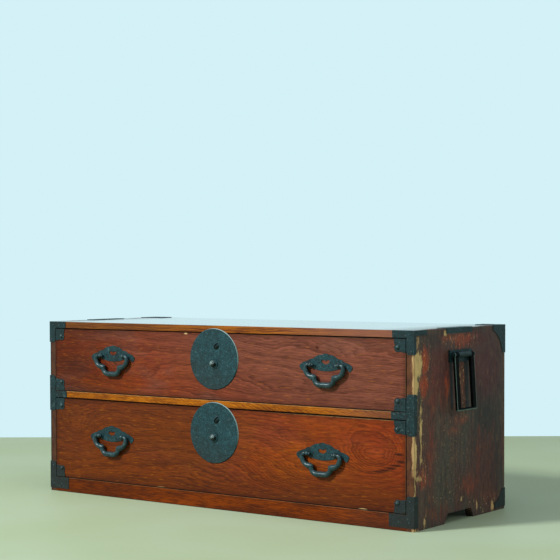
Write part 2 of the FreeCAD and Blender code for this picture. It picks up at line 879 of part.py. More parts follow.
class Drawer:
    """One drawer: its name, the expressions that place it and those of its fittings."""

    def __init__(self, name):
        self.name = name
        self.floor = name + "_z"
        self.height = name + "_height"
        self.wall_top = self.height + " - wall_drop"
        self.lock_z = self.height + " - " + name + "_lock_drop"
        self.button_z = self.lock_z + " - button_drop"
        self.handle_z = self.height + " - " + name + "_handle_drop"
        self.handles = {
            "left": name + "_handle_left_x",
            "right": name + "_handle_right_x",
        }

    def body(self, label, x="0", y="0", z="0"):
        """A body of this drawer, placed from the drawer's front foot."""
        at = (x, "front_y + " + y, self.floor + " + " + z)
        return new_body(self.name + "_" + label, at)

    def corners(self):
        """The four corners of the front: place, and the way to the middle on each axis."""
        for across, x in (("-", "drawer_half"), ("+", "-drawer_half")):
            for up, z in (("-", self.height), ("+", "front_foot_gap")):
                yield x, z, across, up

    def nails(self):
        """The middles of the four dome nails."""
        for x, z, across, up in self.corners():
            yield x + across + "nail_inset", z + up + "nail_inset + nail_lift"


def make_drawer_front(drawer):
    """The show front, rebated for walls and floor, mortised for the lock and bored."""
    front = keep(drawer.body("drawer_front"))
    face = new_sketch(front, "XZ_Plane")
    rectangle(face, "-drawer_half", "front_foot_gap", "drawer_half", drawer.height)
    pad(front, face, "front_thickness", back=True)
    rebate = new_sketch(front, "XZ_Plane", "-front_thickness")
    outer = "drawer_half + overrun"
    inner = "drawer_half - wall_thickness"
    outline(
        rebate,
        [
            (less(outer), "-overrun"),
            (outer, "-overrun"),
            (outer, drawer.wall_top),
            (inner, drawer.wall_top),
            (inner, "drawer_bottom_thickness"),
            (less(inner), "drawer_bottom_thickness"),
            (less(inner), drawer.wall_top),
            (less(outer), drawer.wall_top),
        ],
    )
    pocket(front, rebate, "front_lap", along=True)
    mortise = new_sketch(front, "XZ_Plane", "-front_thickness")
    rectangle(
        mortise,
        "lock_x - mortise_half",
        drawer.button_z + " - lock_case_fall",
        "lock_x + mortise_half",
        drawer.button_z + " + lock_case_rise",
    )
    pocket(front, mortise, "lock_case_depth", along=True)
    channel = new_sketch(front, "XY_Plane", drawer.height)
    rectangle(
        channel,
        "lock_x - bolt_half - bolt_clearance",
        "bolt_y - bolt_clearance",
        "lock_x + bolt_half + bolt_clearance",
        "bolt_y + bolt_thickness + bolt_clearance",
    )
    pocket(front, channel, drawer.height + " - (" + drawer.button_z + ") - lock_case_rise")
    bores = new_sketch(front, "XZ_Plane")
    circle(bores, "lock_x", drawer.button_z, "button_bore")
    circle(bores, "lock_x + hood_side", drawer.lock_z + " + hood_rise", "key_bore_radius")
    pocket(front, bores, "front_thickness - lock_case_depth")
    posts = new_sketch(front, "XZ_Plane")
    for handle_x in drawer.handles.values():
        for side in ("+", "-"):
            circle(posts, handle_x + side + "post_half_width", drawer.handle_z, "post_bore")
    pocket(front, posts, "front_thickness")
    nails = new_sketch(front, "XZ_Plane")
    for x, z in drawer.nails():
        circle(nails, x, z, "nail_bore")
    pocket(front, nails, "nail_shank_length")


def make_drawer_box(drawer):
    """Two side walls and a back that interlock with five fingers, over a nailed-on floor."""
    finger = "((" + drawer.wall_top + " - drawer_bottom_thickness) / 5)"
    start = "front_thickness - front_lap"
    for side, x in (("left", "-drawer_half"), ("right", "drawer_half - wall_thickness")):
        wall = keep(drawer.body("drawer_side_" + side, x))
        face = new_sketch(wall, "YZ_Plane")
        rectangle(face, start, "drawer_bottom_thickness", "drawer_depth", drawer.wall_top)
        pad(wall, face, "wall_thickness")
        slot = new_sketch(wall, "YZ_Plane")
        rectangle(
            slot,
            "drawer_depth - drawer_back_thickness",
            "drawer_bottom_thickness + " + finger,
            "drawer_depth + overrun",
            "drawer_bottom_thickness + 2 * " + finger,
        )
        first = pocket(wall, slot, "wall_thickness", along=True)
        repeat(wall, first, "Z_Axis", "2 * " + finger, 2)
    back = keep(drawer.body("drawer_back"))
    face = new_sketch(back, "XZ_Plane", "-drawer_depth")
    rectangle(face, "-drawer_half", "drawer_bottom_thickness", "drawer_half", drawer.wall_top)
    pad(back, face, "drawer_back_thickness")
    slots = new_sketch(back, "XZ_Plane", "-drawer_depth")
    for low, high in (
        ("drawer_half - wall_thickness", "drawer_half + overrun"),
        ("-drawer_half - overrun", "wall_thickness - drawer_half"),
    ):
        rectangle(
            slots, low, "drawer_bottom_thickness", high, "drawer_bottom_thickness + " + finger
        )
    first = pocket(back, slots, "drawer_back_thickness", along=True)
    repeat(back, first, "Z_Axis", "4 * " + finger, 3)
    bottom = keep(drawer.body("drawer_bottom"))
    plan = new_sketch(bottom, "XY_Plane")
    rectangle(plan, "-drawer_half", start, "drawer_half", "drawer_depth")
    pad(bottom, plan, "drawer_bottom_thickness")


def make_corner_irons(drawer):
    """Four small irons with a lobe under each dome nail, hollowed on both sides of it."""
    irons = keep(drawer.body("corner_irons"))
    far = "(nail_inset + nail_lobe_radius * cos(nail_lobe_opening))"
    near = "(nail_inset - nail_lobe_radius * sin(nail_lobe_opening))"
    for x, z, across, up in drawer.corners():
        bulge, hollow = ("left", "right") if across == up else ("right", "left")
        face = new_sketch(irons, "XZ_Plane")
        outline(
            face,
            [
                (x, z),
                (x + across + "corner_iron", z),
                (x + across + "corner_iron", z + up + "corner_iron_end", "corner_iron / 2", hollow),
                (x + across + far, z + up + near, "nail_lobe_radius", bulge),
                (x + across + near, z + up + far, "corner_iron / 2", hollow),
                (x + across + "corner_iron_end", z + up + "corner_iron"),
                (x, z + up + "corner_iron"),
            ],
        )
        pad(irons, face, "iron_thickness")
    holes = new_sketch(irons, "XZ_Plane", "iron_thickness")
    for x, z in drawer.nails():
        circle(holes, x, z, "nail_bore")
    pocket(irons, holes, "iron_thickness")
    dome = arc_radius("nail_head_radius", "nail_head_height")
    nails = []
    for index, (x, z) in enumerate(drawer.nails()):
        nail = drawer.body("corner_nail_" + str(index + 1), x, "0", z)
        profile = new_sketch(nail, "XY_Plane")
        outline(
            profile,
            [
                ("0", "-iron_thickness - nail_head_height"),
                ("0", "nail_shank_length"),
                ("nail_shank_radius", "nail_shank_length"),
                ("nail_shank_radius", "-iron_thickness"),
                ("nail_head_radius", "-iron_thickness", dome, "right"),
            ],
        )
        revolve(nail, profile)
        nails.append(nail)
    group(drawer.name + "_corner_nails", nails)


def make_lock(drawer):
    """Disc, keyhole hood, case, forked bolt and push button of one lock."""
    disc = keep(drawer.body("lock_plate", "lock_x", "0", drawer.lock_z))
    profile = new_sketch(disc, "XY_Plane")
    outline(
        profile,
        [
            ("0", "-disc_thickness"),
            ("0", "0"),
            ("disc_radius", "0"),
            ("disc_radius", "disc_bevel - disc_thickness"),
            ("disc_radius - disc_bevel", "-disc_thickness"),
        ],
    )
    revolve(disc, profile)
    washer = new_sketch(disc, "XZ_Plane", "disc_thickness")
    circle(washer, "0", "-button_drop", "washer_radius")
    pad(disc, washer, "washer_height")
    bores = new_sketch(disc, "XZ_Plane", "disc_thickness + washer_height")
    circle(bores, "0", "-button_drop", "button_bore")
    circle(bores, "hood_side", "hood_rise", "key_bore_radius")
    pocket(disc, bores, "disc_thickness + washer_height")

    hood_at = ("lock_x + hood_side", "0 - disc_thickness", drawer.lock_z + " + hood_rise")
    hood = keep(drawer.body("keyhole_hood", *hood_at))
    hood.setExpression("Placement.Rotation.Axis.y", "1")
    hood.setExpression("Placement.Rotation.Axis.z", "0")
    hood.setExpression("Placement.Rotation.Angle", spell("slit_tilt"))
    profile = new_sketch(hood, "XY_Plane")
    outline(
        profile,
        [
            ("0", "-hood_height"),
            ("0", "0"),
            ("hood_radius", "0"),
            ("hood_crown_radius", "-hood_height"),
        ],
    )
    revolve(hood, profile)
    slit = new_sketch(hood, "XZ_Plane", "hood_height")
    rectangle(slit, "-slit_width / 2", "-slit_length / 2", "slit_width / 2", "slit_length / 2")
    pocket(hood, slit, "hood_height")

    case = keep(drawer.body("lock_case", "lock_x", "front_thickness", drawer.button_z))
    shell = new_sketch(case, "XZ_Plane")
    rectangle(shell, "-mortise_half", "-lock_case_fall", "mortise_half", "lock_case_rise")
    pad(case, shell, "lock_case_depth")
    cavity = new_sketch(case, "XZ_Plane", "lock_case_depth")
    rectangle(
        cavity,
        "lock_case_wall - mortise_half",
        "lock_case_wall - lock_case_fall",
        "mortise_half - lock_case_wall",
        "lock_case_rise - lock_case_wall",
    )
    pocket(case, cavity, "lock_case_depth - lock_case_wall")
    gate = new_sketch(case, "XY_Plane", "lock_case_rise")
    rectangle(
        gate,
        "-bolt_half - bolt_clearance",
        "bolt_y - front_thickness - bolt_clearance",
        "bolt_half + bolt_clearance",
        "bolt_y - front_thickness + bolt_thickness + bolt_clearance",
    )
    pocket(case, gate, "lock_case_wall")

    bolt = keep(drawer.body("lock_bolt", "lock_x", "bolt_y", drawer.button_z))
    plan = new_sketch(bolt, "XZ_Plane")
    fork = "stem_radius + bolt_clearance"
    crotch = "bolt_tail + bolt_clearance"
    tip = drawer.height + " - (" + drawer.button_z + ") - bolt_clearance"
    outline(
        plan,
        [
            ("-bolt_half", "-bolt_tail"),
            (less(fork), "-bolt_tail"),
            (less(fork), crotch),
            (fork, crotch),
            (fork, "-bolt_tail"),
            ("bolt_half", "-bolt_tail"),
            ("bolt_half", tip),
            ("-bolt_half", tip),
        ],
    )
    pad(bolt, plan, "bolt_thickness", back=True)

    button = keep(drawer.body("lock_button", "lock_x", "0", drawer.button_z))
    profile = new_sketch(button, "XY_Plane")
    shoulder = "-disc_thickness - button_stand"
    inner_end = "front_thickness - lock_case_depth - button_travel - bolt_clearance"
    dome = arc_radius("button_radius", "button_dome")
    outline(
        profile,
        [
            ("0", shoulder + " - button_dome"),
            ("0", "bolt_y"),
            ("stem_radius", "bolt_y"),
            ("stem_radius", inner_end),
            ("button_radius", inner_end),
            ("button_radius", shoulder, dome, "right"),
        ],
    )
    revolve(button, profile)


def cloud_outline():
    """The handle plate's outline, a scalloped cloud with leaf ends, its left half mirrored."""
    right = []
    for across, up, radius, side in CLOUD_SHARES:
        height = "plate_rise" if up > 0 else "plate_fall"
        corner = ("%s * plate_half_width" % across, "%s * %s" % (up, height))
        right.append((corner, ("%s * plate_half_width" % radius, side)))
    left = []
    for index in range(len(right) - 1, 0, -1):
        x, z = right[index][0]
        left.append((less(x), z) + right[index - 1][1])
    return [corner + bend for corner, bend in right[:-1]] + left


def heart_outline():
    """The heart-shaped cut-out of a handle plate."""
    return [
        (
            "%s * heart_half_width" % across,
            "heart_base + %s * heart_height" % up,
            "%s * heart_half_width" % bend,
            "left",
        )
        for across, up, bend in HEART_SHARES
    ]


def make_handles(drawer):
    """Plates and eye posts of the two drawer handles."""
    posts = []
    for side, handle_x in drawer.handles.items():
        plate = keep(drawer.body("handle_plate_" + side, handle_x, "0", drawer.handle_z))
        face = new_sketch(plate, "XZ_Plane")
        outline(face, cloud_outline())
        pad(plate, face, "plate_thickness")
        cuts = new_sketch(plate, "XZ_Plane", "plate_thickness")
        outline(cuts, heart_outline())
        for way in ("post_half_width", "-post_half_width"):
            circle(cuts, way, "0", "post_bore")
        pocket(plate, cuts, "plate_thickness")
        for index, way in enumerate((" - post_half_width", " + post_half_width")):
            label = "post_" + side + "_" + str(index + 1)
            posts.append(make_post(drawer, label, handle_x + way))
    group(drawer.name + "_handle_posts", posts)


def make_post(drawer, label, x):
    """An eye post: ball head with a cross bore, shank through the front, clinched behind it."""
    post = drawer.body(label, x, "0", drawer.handle_z)
    inner = "front_thickness + clinch_thickness"
    profile = new_sketch(post, "XY_Plane")
    neck = "(post_ball_radius * post_ball_radius - post_shank_radius * post_shank_radius) ^ 0.5"
    outline(
        profile,
        [
            ("0", "-post_standoff - post_ball_radius"),
            ("0", inner),
            ("clinch_radius", inner),
            ("clinch_radius", "front_thickness"),
            ("post_shank_radius", "front_thickness"),
            ("post_shank_radius", neck + " - post_standoff", "post_ball_radius", "right"),
        ],
    )
    revolve(post, profile)
    legs = new_sketch(post, "XZ_Plane", less(inner))
    half = "post_shank_radius"
    rectangle(legs, "-clinch_half_length", less(half), "clinch_half_length", half)
    pad(post, legs, "clinch_thickness", back=True)
    bore = new_sketch(post, "YZ_Plane", "-post_ball_radius")
    circle(bore, "-post_standoff", "0", "pin_radius + pin_clearance")
    pocket(post, bore, "2 * post_ball_radius", along=True)
    return post


def section(kind, label, x, z, turn):
    """A round section at (x, z) of a bar that runs there at an angle of turn to the X direction.

    Half a turn about the line midway between Z and the bar lays the section square across it.
    """
    made = doc.addObject("Part::" + kind, label)
    made.setExpression("Placement.Base.x", spell(x))
    made.setExpression("Placement.Base.z", spell(z))
    made.setExpression("Placement.Rotation.Angle", "180")
    made.setExpression("Placement.Rotation.Axis.x", "cos((90 + %s) / 2)" % spell(turn))
    made.setExpression("Placement.Rotation.Axis.z", "sin((90 + %s) / 2)" % spell(turn))
    return made


def station(label, x, z, turn, radius):
    """A circle of the bar."""
    made = section("Circle", label, x, z, turn)
    made.setExpression("Radius", spell(radius))
    return made


def arc_station(label, centre, bend, angle, radius):
    """A circle of the bar on a bend about a centre, at an angle up from the X direction."""
    x = "%s + %s * cos(%s)" % (centre[0], bend, angle)
    z = "%s + %s * sin(%s)" % (centre[1], bend, angle)
    return station(label, x, z, "(%s - 90)" % angle, radius)


def loft(label, sections):
    """A smooth solid through the sections."""
    made = doc.addObject("Part::Loft", label)
    made.Sections = sections
    made.Solid = True
    return made


def make_bail():
    """A forged bracken bail: pin ends, tapering lobes, a mitred waist and a thick grip."""
    pin = doc.addObject("Part::Cylinder", "bail_pin")
    tip = "(post_half_width - post_ball_radius - pin_tail)"
    pin.setExpression("Radius", spell("pin_radius"))
    pin.setExpression("Height", spell("bend_x - " + tip))
    pin.setExpression("Placement.Base.x", spell(tip))
    pin.setExpression("Placement.Rotation.Axis.y", "1")
    pin.setExpression("Placement.Rotation.Axis.z", "0")
    pin.setExpression("Placement.Rotation.Angle", "90")

    bend = ("bend_x", "-bail_bend_radius")
    lobe = ("lobe_foot_x", "-bail_bend_radius")
    swell = "(bail_lobe_radius_end - bail_root_radius)"
    parts = []
    for index, (share, angle) in enumerate(((0, "90"), (0.25, "45"), (0.5, "0"))):
        radius = "bail_root_radius + %s * %s" % (share, swell)
        parts.append(arc_station("bend_%d" % index, bend, "bail_bend_radius", angle, radius))
    for index, (share, sweep) in enumerate(((0.75, "(-lobe_sweep / 2)"), (1, "(-lobe_sweep)"))):
        radius = "bail_root_radius + %s * %s" % (share, swell)
        parts.append(arc_station("lobe_%d" % index, lobe, "bail_lobe_radius", sweep, radius))
    waist = section("Ellipse", "waist", "waist_half_width", "-waist_drop", "waist_turn")
    waist.setExpression("MajorRadius", spell("bail_waist_radius / cos(waist_mitre)"))
    waist.setExpression("MinorRadius", spell("bail_waist_radius"))
    grip = [waist]
    corner = ("grip_corner_x", "-waist_drop")
    growth = "(bail_grip_radius - bail_waist_radius)"
    for index, (share, angle) in enumerate(((0.1, "(-30)"), (0.4, "(-60)"), (0.8, "(-90)"))):
        radius = "bail_waist_radius + %s * %s" % (share, growth)
        grip.append(arc_station("grip_%d" % index, corner, "grip_bend", angle, radius))
    grip.append(station("grip_middle", "0", "-bail_drop", "(-180)", "bail_grip_radius"))
    half = doc.addObject("Part::MultiFuse", "bail_half")
    half.Shapes = [loft("bail_grip", grip), loft("bail_lobe", parts + [waist]), pin]
    twin = doc.addObject("Part::Mirroring", "bail_twin")
    twin.Source = half
    twin.Normal = Vector(1, 0, 0)
    whole = doc.addObject("Part::MultiFuse", "bail")
    whole.Shapes = [half, twin]
    return whole


def hang_bails(drawer, shape):
    """The two bails of a drawer, hung in the eyes of their posts."""
    for side, handle_x in drawer.handles.items():
        bail = group(drawer.name + "_bail_" + side, [shape])
        bail.setExpression("Placement.Base.x", spell(handle_x))
        bail.setExpression("Placement.Base.y", spell("front_y - post_standoff"))
        bail.setExpression("Placement.Base.z", spell(drawer.floor + " + " + drawer.handle_z))


def check_all():
    """Refuse any object that failed and any node without a valid solid."""
    for item in doc.Objects:
        if "Invalid" in item.State or "Error" in item.State:
            raise RuntimeError(item.Label + " failed: " + str(item.State))
    for node in NODES:
        shape = node.Shape
        if shape.isNull() or not shape.isValid() or not shape.Solids:
            raise RuntimeError(node.Label + " has no valid solid")


make_top_board()
make_side_boards()
mid_rail = make_rail(
    "mid_rail", "mid_rail_bottom", "mid_rail_height", "mid_rail_depth", "dust_thickness"
)
cut_bolt_mortise(mid_rail, "0")
make_rail("bottom_rail", "0", "bottom_rail_height", "bottom_rail_depth", "bottom_thickness")
make_floor("dust_board", "mid_rail_top", "dust_thickness", "mid_rail_depth")
make_floor("bottom_board", "bottom_rail_height", "bottom_thickness", "bottom_rail_depth")
make_back_boards()
make_drawer_stops()
make_top_corner_irons()
make_mid_irons()
make_bottom_corner_irons()
make_side_straps()
make_back_top_irons()
make_back_foot_irons()
make_carrying_mounts()
make_carrying_bails()
bail_shape = make_bail()
for drawer in (Drawer("upper"), Drawer("lower")):
    make_drawer_front(drawer)
    make_drawer_box(drawer)
    make_corner_irons(drawer)
    make_lock(drawer)
    make_handles(drawer)
    hang_bails(drawer, bail_shape)
doc.recompute()
check_all()

os.makedirs("parts", exist_ok=True)
for node in NODES:
    node.Shape.exportStep("parts/" + node.Label + ".step")
print(len(NODES), "nodes")
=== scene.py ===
"""Dresses a two-drawer clothing chest of the isho kind: figured wood, blued iron, nails and its studio.

Metres, +Z up, +X to the viewer's right, front towards -Y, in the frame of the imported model.
"""
import math
import random

import bmesh
import bpy
from bpy.props import FloatProperty, FloatVectorProperty, PointerProperty
from mathutils import Euler, Matrix, Vector


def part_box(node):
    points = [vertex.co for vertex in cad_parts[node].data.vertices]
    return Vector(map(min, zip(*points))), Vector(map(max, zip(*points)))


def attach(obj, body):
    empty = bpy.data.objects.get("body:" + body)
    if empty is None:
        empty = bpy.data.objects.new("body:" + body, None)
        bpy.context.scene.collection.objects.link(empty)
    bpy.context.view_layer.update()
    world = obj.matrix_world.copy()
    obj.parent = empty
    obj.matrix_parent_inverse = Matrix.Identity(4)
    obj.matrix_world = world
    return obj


bl_info = {
    "name": "Isho chest",
    "version": (1, 0, 0),
    "blender": (4, 5, 0),
    "location": "View3D > Sidebar > Chest",
    "description": "Finishes and small fittings of a two-drawer clothing chest",
    "category": "Object",
}

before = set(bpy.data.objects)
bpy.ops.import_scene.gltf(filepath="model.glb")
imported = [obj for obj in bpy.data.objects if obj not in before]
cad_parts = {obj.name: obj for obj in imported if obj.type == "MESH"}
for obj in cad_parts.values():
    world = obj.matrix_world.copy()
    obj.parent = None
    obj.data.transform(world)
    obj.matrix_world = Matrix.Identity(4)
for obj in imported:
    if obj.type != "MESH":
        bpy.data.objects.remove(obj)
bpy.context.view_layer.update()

# the outer faces of the case, from its right side board
SIDE_LOW, SIDE_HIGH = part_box("side_board_right")
FRONT = SIDE_LOW.y
BACK = SIDE_HIGH.y
HALF = SIDE_HIGH.x
HEIGHT = SIDE_HIGH.z


def srgb(code):
    """The linear colour of a hex code, as a shader takes it."""
    parts = [int(code[i : i + 2], 16) / 255 for i in (0, 2, 4)]
    return tuple(p / 12.92 if p <= 0.04045 else ((p + 0.055) / 1.055) ** 2.4 for p in parts)


def colour(title, code, description):
    """A colour that a user can change."""
    return FloatVectorProperty(
        name=title, description=description, subtype="COLOR", default=srgb(code), min=0, max=1
    )


def length(title, default, description):
    """A length that a user can change."""
    return FloatProperty(
        name=title, description=description, default=default, unit="LENGTH", subtype="DISTANCE", precision=5
    )


def angle(title, default, description):
    """An angle that a user can change, given here in degrees."""
    return FloatProperty(
        name=title, description=description, default=math.radians(default), unit="ROTATION", subtype="ANGLE"
    )


def number(title, default, description, unit="NONE"):
    """A plain number, or one with a unit, that a user can change."""
    return FloatProperty(name=title, description=description, default=default, unit=unit)


class ChestColours(bpy.types.PropertyGroup):
    """Colours of the wood, the irons and the studio."""

    front_red: colour("Front red", "8f3615", "Lacquered zelkova, the redder wood")
    front_orange: colour("Front orange", "a04c0b", "Lacquered zelkova, the lighter wood")
    # front haze: partly clouded lacquer, partly a painted reflection of the bright surroundings on the
    # fronts, rails and top edge
    front_haze_and_reflection: colour("Front haze", "86574a", "Clouded lacquer over the fronts")
    front_dark: colour("Front grain", "2e1008", "Late wood and dark streaks of the fronts")
    rail_gold: colour("Rail gold", "cc7a14", "Light streaks of the front rails")
    rail_brown: colour("Rail brown", "5e2a0f", "Dark streaks of the front rails")
    plinth_gold: colour("Foot rail gold", "964202", "Light streaks of the foot rail")
    plinth_brown: colour("Foot rail brown", "3a170a", "Dark streaks of the foot rail")
    side_brown: colour("Side brown", "613a34", "Lacquered softwood of the sides")
    side_grey: colour("Side grey", "50473f", "Rubbed and dusty lacquer of the sides")
    side_red: colour("Side red", "c04e28", "Patches where the red ground shows")
    side_wine: colour("Side wine", "5e2826", "Deeper red areas of the sides")
    side_dark: colour("Side dark", "201714", "Grain and soot of the sides")
    stile_brown: colour("Stile brown", "583318", "Wood of the front edges of the sides")
    bare: colour("Bare wood", "d8b884", "Wood that has lost its lacquer")
    side_bare: colour("Side bare wood", "ffd99a", "Wood of the sides that has lost its lacquer")
    bare_dark: colour("Bare grain", "8a5f34", "Grain of the bare wood")
    top: colour("Top", "3a2822", "Lacquered softwood of the top")
    inside: colour("Inside", "b99a72", "Bare paulownia inside the case and drawers")
    inside_dark: colour("Inside grain", "8e7050", "Grain of the paulownia")
    inside_stain: colour("Inside stain", "6d543b", "Stains of the paulownia")
    sheet: colour("Sheet iron", "22505a", "Old blued sheet iron of the plates")
    case_sheet: colour("Case iron", "1c3f46", "Blackened sheet iron of the case")
    sheet_dark: colour("Sheet iron dark", "0f1718", "Hollows and dirt of the sheet iron")
    # sheet iron dark also paints shade beside the carrying bail arms on the side boards
    nail: colour("Nail", "3c5254", "Small nail heads of the case irons")
    dome_nail: colour("Dome nail", "4c686b", "Large nail heads of the drawer corners")
    forged: colour("Forged iron", "2d4c52", "Drawer bails, their posts and the keyhole hoods")
    forged_dark: colour("Forged iron dark", "15292d", "Hollows of the forged iron and the lock plates")
    lock_dark: colour("Lock dark", "181818", "Hollows of the lock cases and bolts")
    # rubbed iron also paints highlights on the disc bevels and the carrying bails
    rubbed_and_highlight: colour("Rubbed iron", "8fa9aa", "Edges and crowns polished by use")
    rust: colour("Rust", "28211b", "Dirt and rust of the case irons")
    # soot also paints shade in the gaps round the drawers, on hidden faces and on the lower sides of the
    # lock fittings
    soot_and_shade: colour("Soot", "0c0808", "Dirt in joints and hollows")
    floor: colour("Floor", "a5b58b", "The plain pale floor")
    backdrop: colour("Backdrop", "d3f1f7", "What is seen beyond the floor")


class ChestSizes(bpy.types.PropertyGroup):
    """Sizes of the details."""

    board_edge: length("Board edge", 0.0007, "Rounding of the edges of boards")
    iron_edge: length("Iron edge", 0.00035, "Rounding of the edges of sheet irons")
    nail_radius: length("Nail radius", 0.0021, "Radius of the small nail heads of the irons")
    nail_rise: length("Nail rise", 0.001, "How far a small nail head stands out")
    peg_radius: length("Peg radius", 0.0016, "Radius of the wooden pegs")


class ChestStudio(bpy.types.PropertyGroup):
    """Camera, light and floor."""

    lens: number("Lens", 97.149, "Focal length in millimetres", "CAMERA")
    turn: angle("Turn", 36.3585, "How far the camera is turned from the front")
    fall: angle("Fall", 1.6479, "How far the camera looks down")
    roll: angle("Roll", -0.1314, "How far the camera is rolled")
    camera_x: length("Camera X", 2.335516, "Place of the camera")
    camera_y: length("Camera Y", -3.113058, "Place of the camera")
    camera_z: length("Camera Z", 0.591193, "Height of the camera")
    shift: number("Shift", 0.06, "Vertical shift of the frame")
    floor_end: length("Floor end", 5.35, "How far in front of the camera the floor ends")
    key: number("Key light", 880, "Power of the key light", "POWER")
    side: number("Side light", 56, "Power of the light on the right side", "POWER")
    sky: number("Top light", 40, "Power of the overhead light", "POWER")
    fill: number("Fill", 0.09, "Strength of the even light from all round")


class Value:
    """A socket that carries a number, so that sums are written as sums."""

    def __init__(self, graph, socket):
        self.graph = graph
        self.socket = socket

    def then(self, operation, *others, swap=False):
        """One Math node on this value and others."""
        terms = (others[0], self) if swap else (self, *others)
        inputs = dict(enumerate(terms))
        return self.graph.node("Math", {"operation": operation}, inputs)

    def __add__(self, other):
        return self.then("ADD", other)

    def __sub__(self, other):
        return self.then("SUBTRACT", other)

    def __rsub__(self, other):
        return self.then("SUBTRACT", other, swap=True)

    def __mul__(self, other):
        return self.then("MULTIPLY", other)

    def __truediv__(self, other):
        return self.then("DIVIDE", other)

    def __pow__(self, other):
        return self.then("POWER", other)

    def __lt__(self, other):
        return self.then("LESS_THAN", other)

    def __gt__(self, other):
        return self.then("GREATER_THAN", other)

    def __abs__(self):
        return self.then("ABSOLUTE")

    __radd__ = __add__
    __rmul__ = __mul__

    def fraction(self):
        """What is left above the next lower whole number."""
        return self.then("FRACT")

    def least(self, other):
        """The smaller of the two."""
        return self.then("MINIMUM", other)

    def most(self, other):
        """The larger of the two."""
        return self.then("MAXIMUM", other)

    def rise(self, low, high, peak=1):
        """0 below low, the peak above high, smooth between them; falls where low is above high."""
        ends = {"Value": self, "From Min": low, "From Max": high, "To Max": peak}
        return self.graph.node("MapRange", {"interpolation_type": "SMOOTHSTEP"}, ends)


class Finish:
    """A material under construction."""

    def __init__(self, name):
        self.material = bpy.data.materials.new(name)
        self.material.use_nodes = True
        self.tree = self.material.node_tree
        self.tree.nodes.clear()
        self.colours = bpy.context.scene.chest_colours

    def node(self, kind, settings=None, inputs=None, output=0):
        """A node of a kind, its settings set first, then its sockets; gives one output."""
        made = self.tree.nodes.new("ShaderNode" + kind)
        for name, setting in (settings or {}).items():
            setattr(made, name, setting)
        for key, entry in (inputs or {}).items():
            if isinstance(entry, Value):
                self.tree.links.new(entry.socket, made.inputs[key])
            else:
                made.inputs[key].default_value = entry
        return Value(self, made.outputs[output]) if made.outputs else made

    def place(self):
        """X, Y and Z of the point, carried along when the piece moves."""
        point = self.node("TexCoord", output=3)
        split = point.graph.node("SeparateXYZ", inputs={0: point})
        outputs = split.socket.node.outputs
        return [Value(self, socket) for socket in outputs]

    def noise(self, x, y, z, detail=2, roughness=0.5):
        """Smooth noise about a half at a point that is already scaled."""
        point = self.node("CombineXYZ", inputs={0: x, 1: y, 2: z})
        inputs = {"Vector": point, "Scale": 1, "Detail": detail, "Roughness": roughness}
        return self.node("TexNoise", inputs=inputs)

    def mix(self, share, first, second):
        """One colour turning into another."""
        ends = {0: share, 6: self.paint(first), 7: self.paint(second)}
        return self.node("Mix", {"data_type": "RGBA", "clamp_factor": True}, ends, output=2)

    def paint(self, entry):
        """A colour with its alpha, or a link as it is."""
        return entry if isinstance(entry, Value) else (*entry, 1)

    def bump(self, height, depth, strength=1.0):
        """A normal that follows a height of 0 to 1 over a depth in metres."""
        inputs = {"Height": height, "Distance": depth, "Strength": strength}
        return self.node("Bump", inputs=inputs)

    def close(self, **inputs):
        """The surface, with the named sockets of the shader; gives the material."""
        named = {key.replace("_", " ").title(): entry for key, entry in inputs.items()}
        if "Specular" in named:
            named["Specular IOR Level"] = named.pop("Specular")
        base = named["Base Color"]
        named["Base Color"] = self.paint(base)
        shader = self.node("BsdfPrincipled", inputs=named)
        self.node("OutputMaterial", inputs={"Surface": shader})
        return self.material


def patches(finish, across, up, marks):
    """The strongest of several soft oval marks, each given as its place, half sizes and strength."""
    point = finish.node("CombineXYZ", inputs={0: across, 1: up})
    total = None
    for place_x, place_z, half_x, half_z, strength in marks:
        scale = (1 / half_x, 1 / half_z, 0)
        shift = (-place_x / half_x, -place_z / half_z, 0)
        offset = finish.node("VectorMath", {"operation": "MULTIPLY_ADD"}, {0: point, 1: scale, 2: shift})
        reach = finish.node("VectorMath", {"operation": "LENGTH"}, {0: offset}, output=1)
        spot = reach.rise(1.6, 0.3, strength)
        total = total.most(spot) if total else spot
    return total


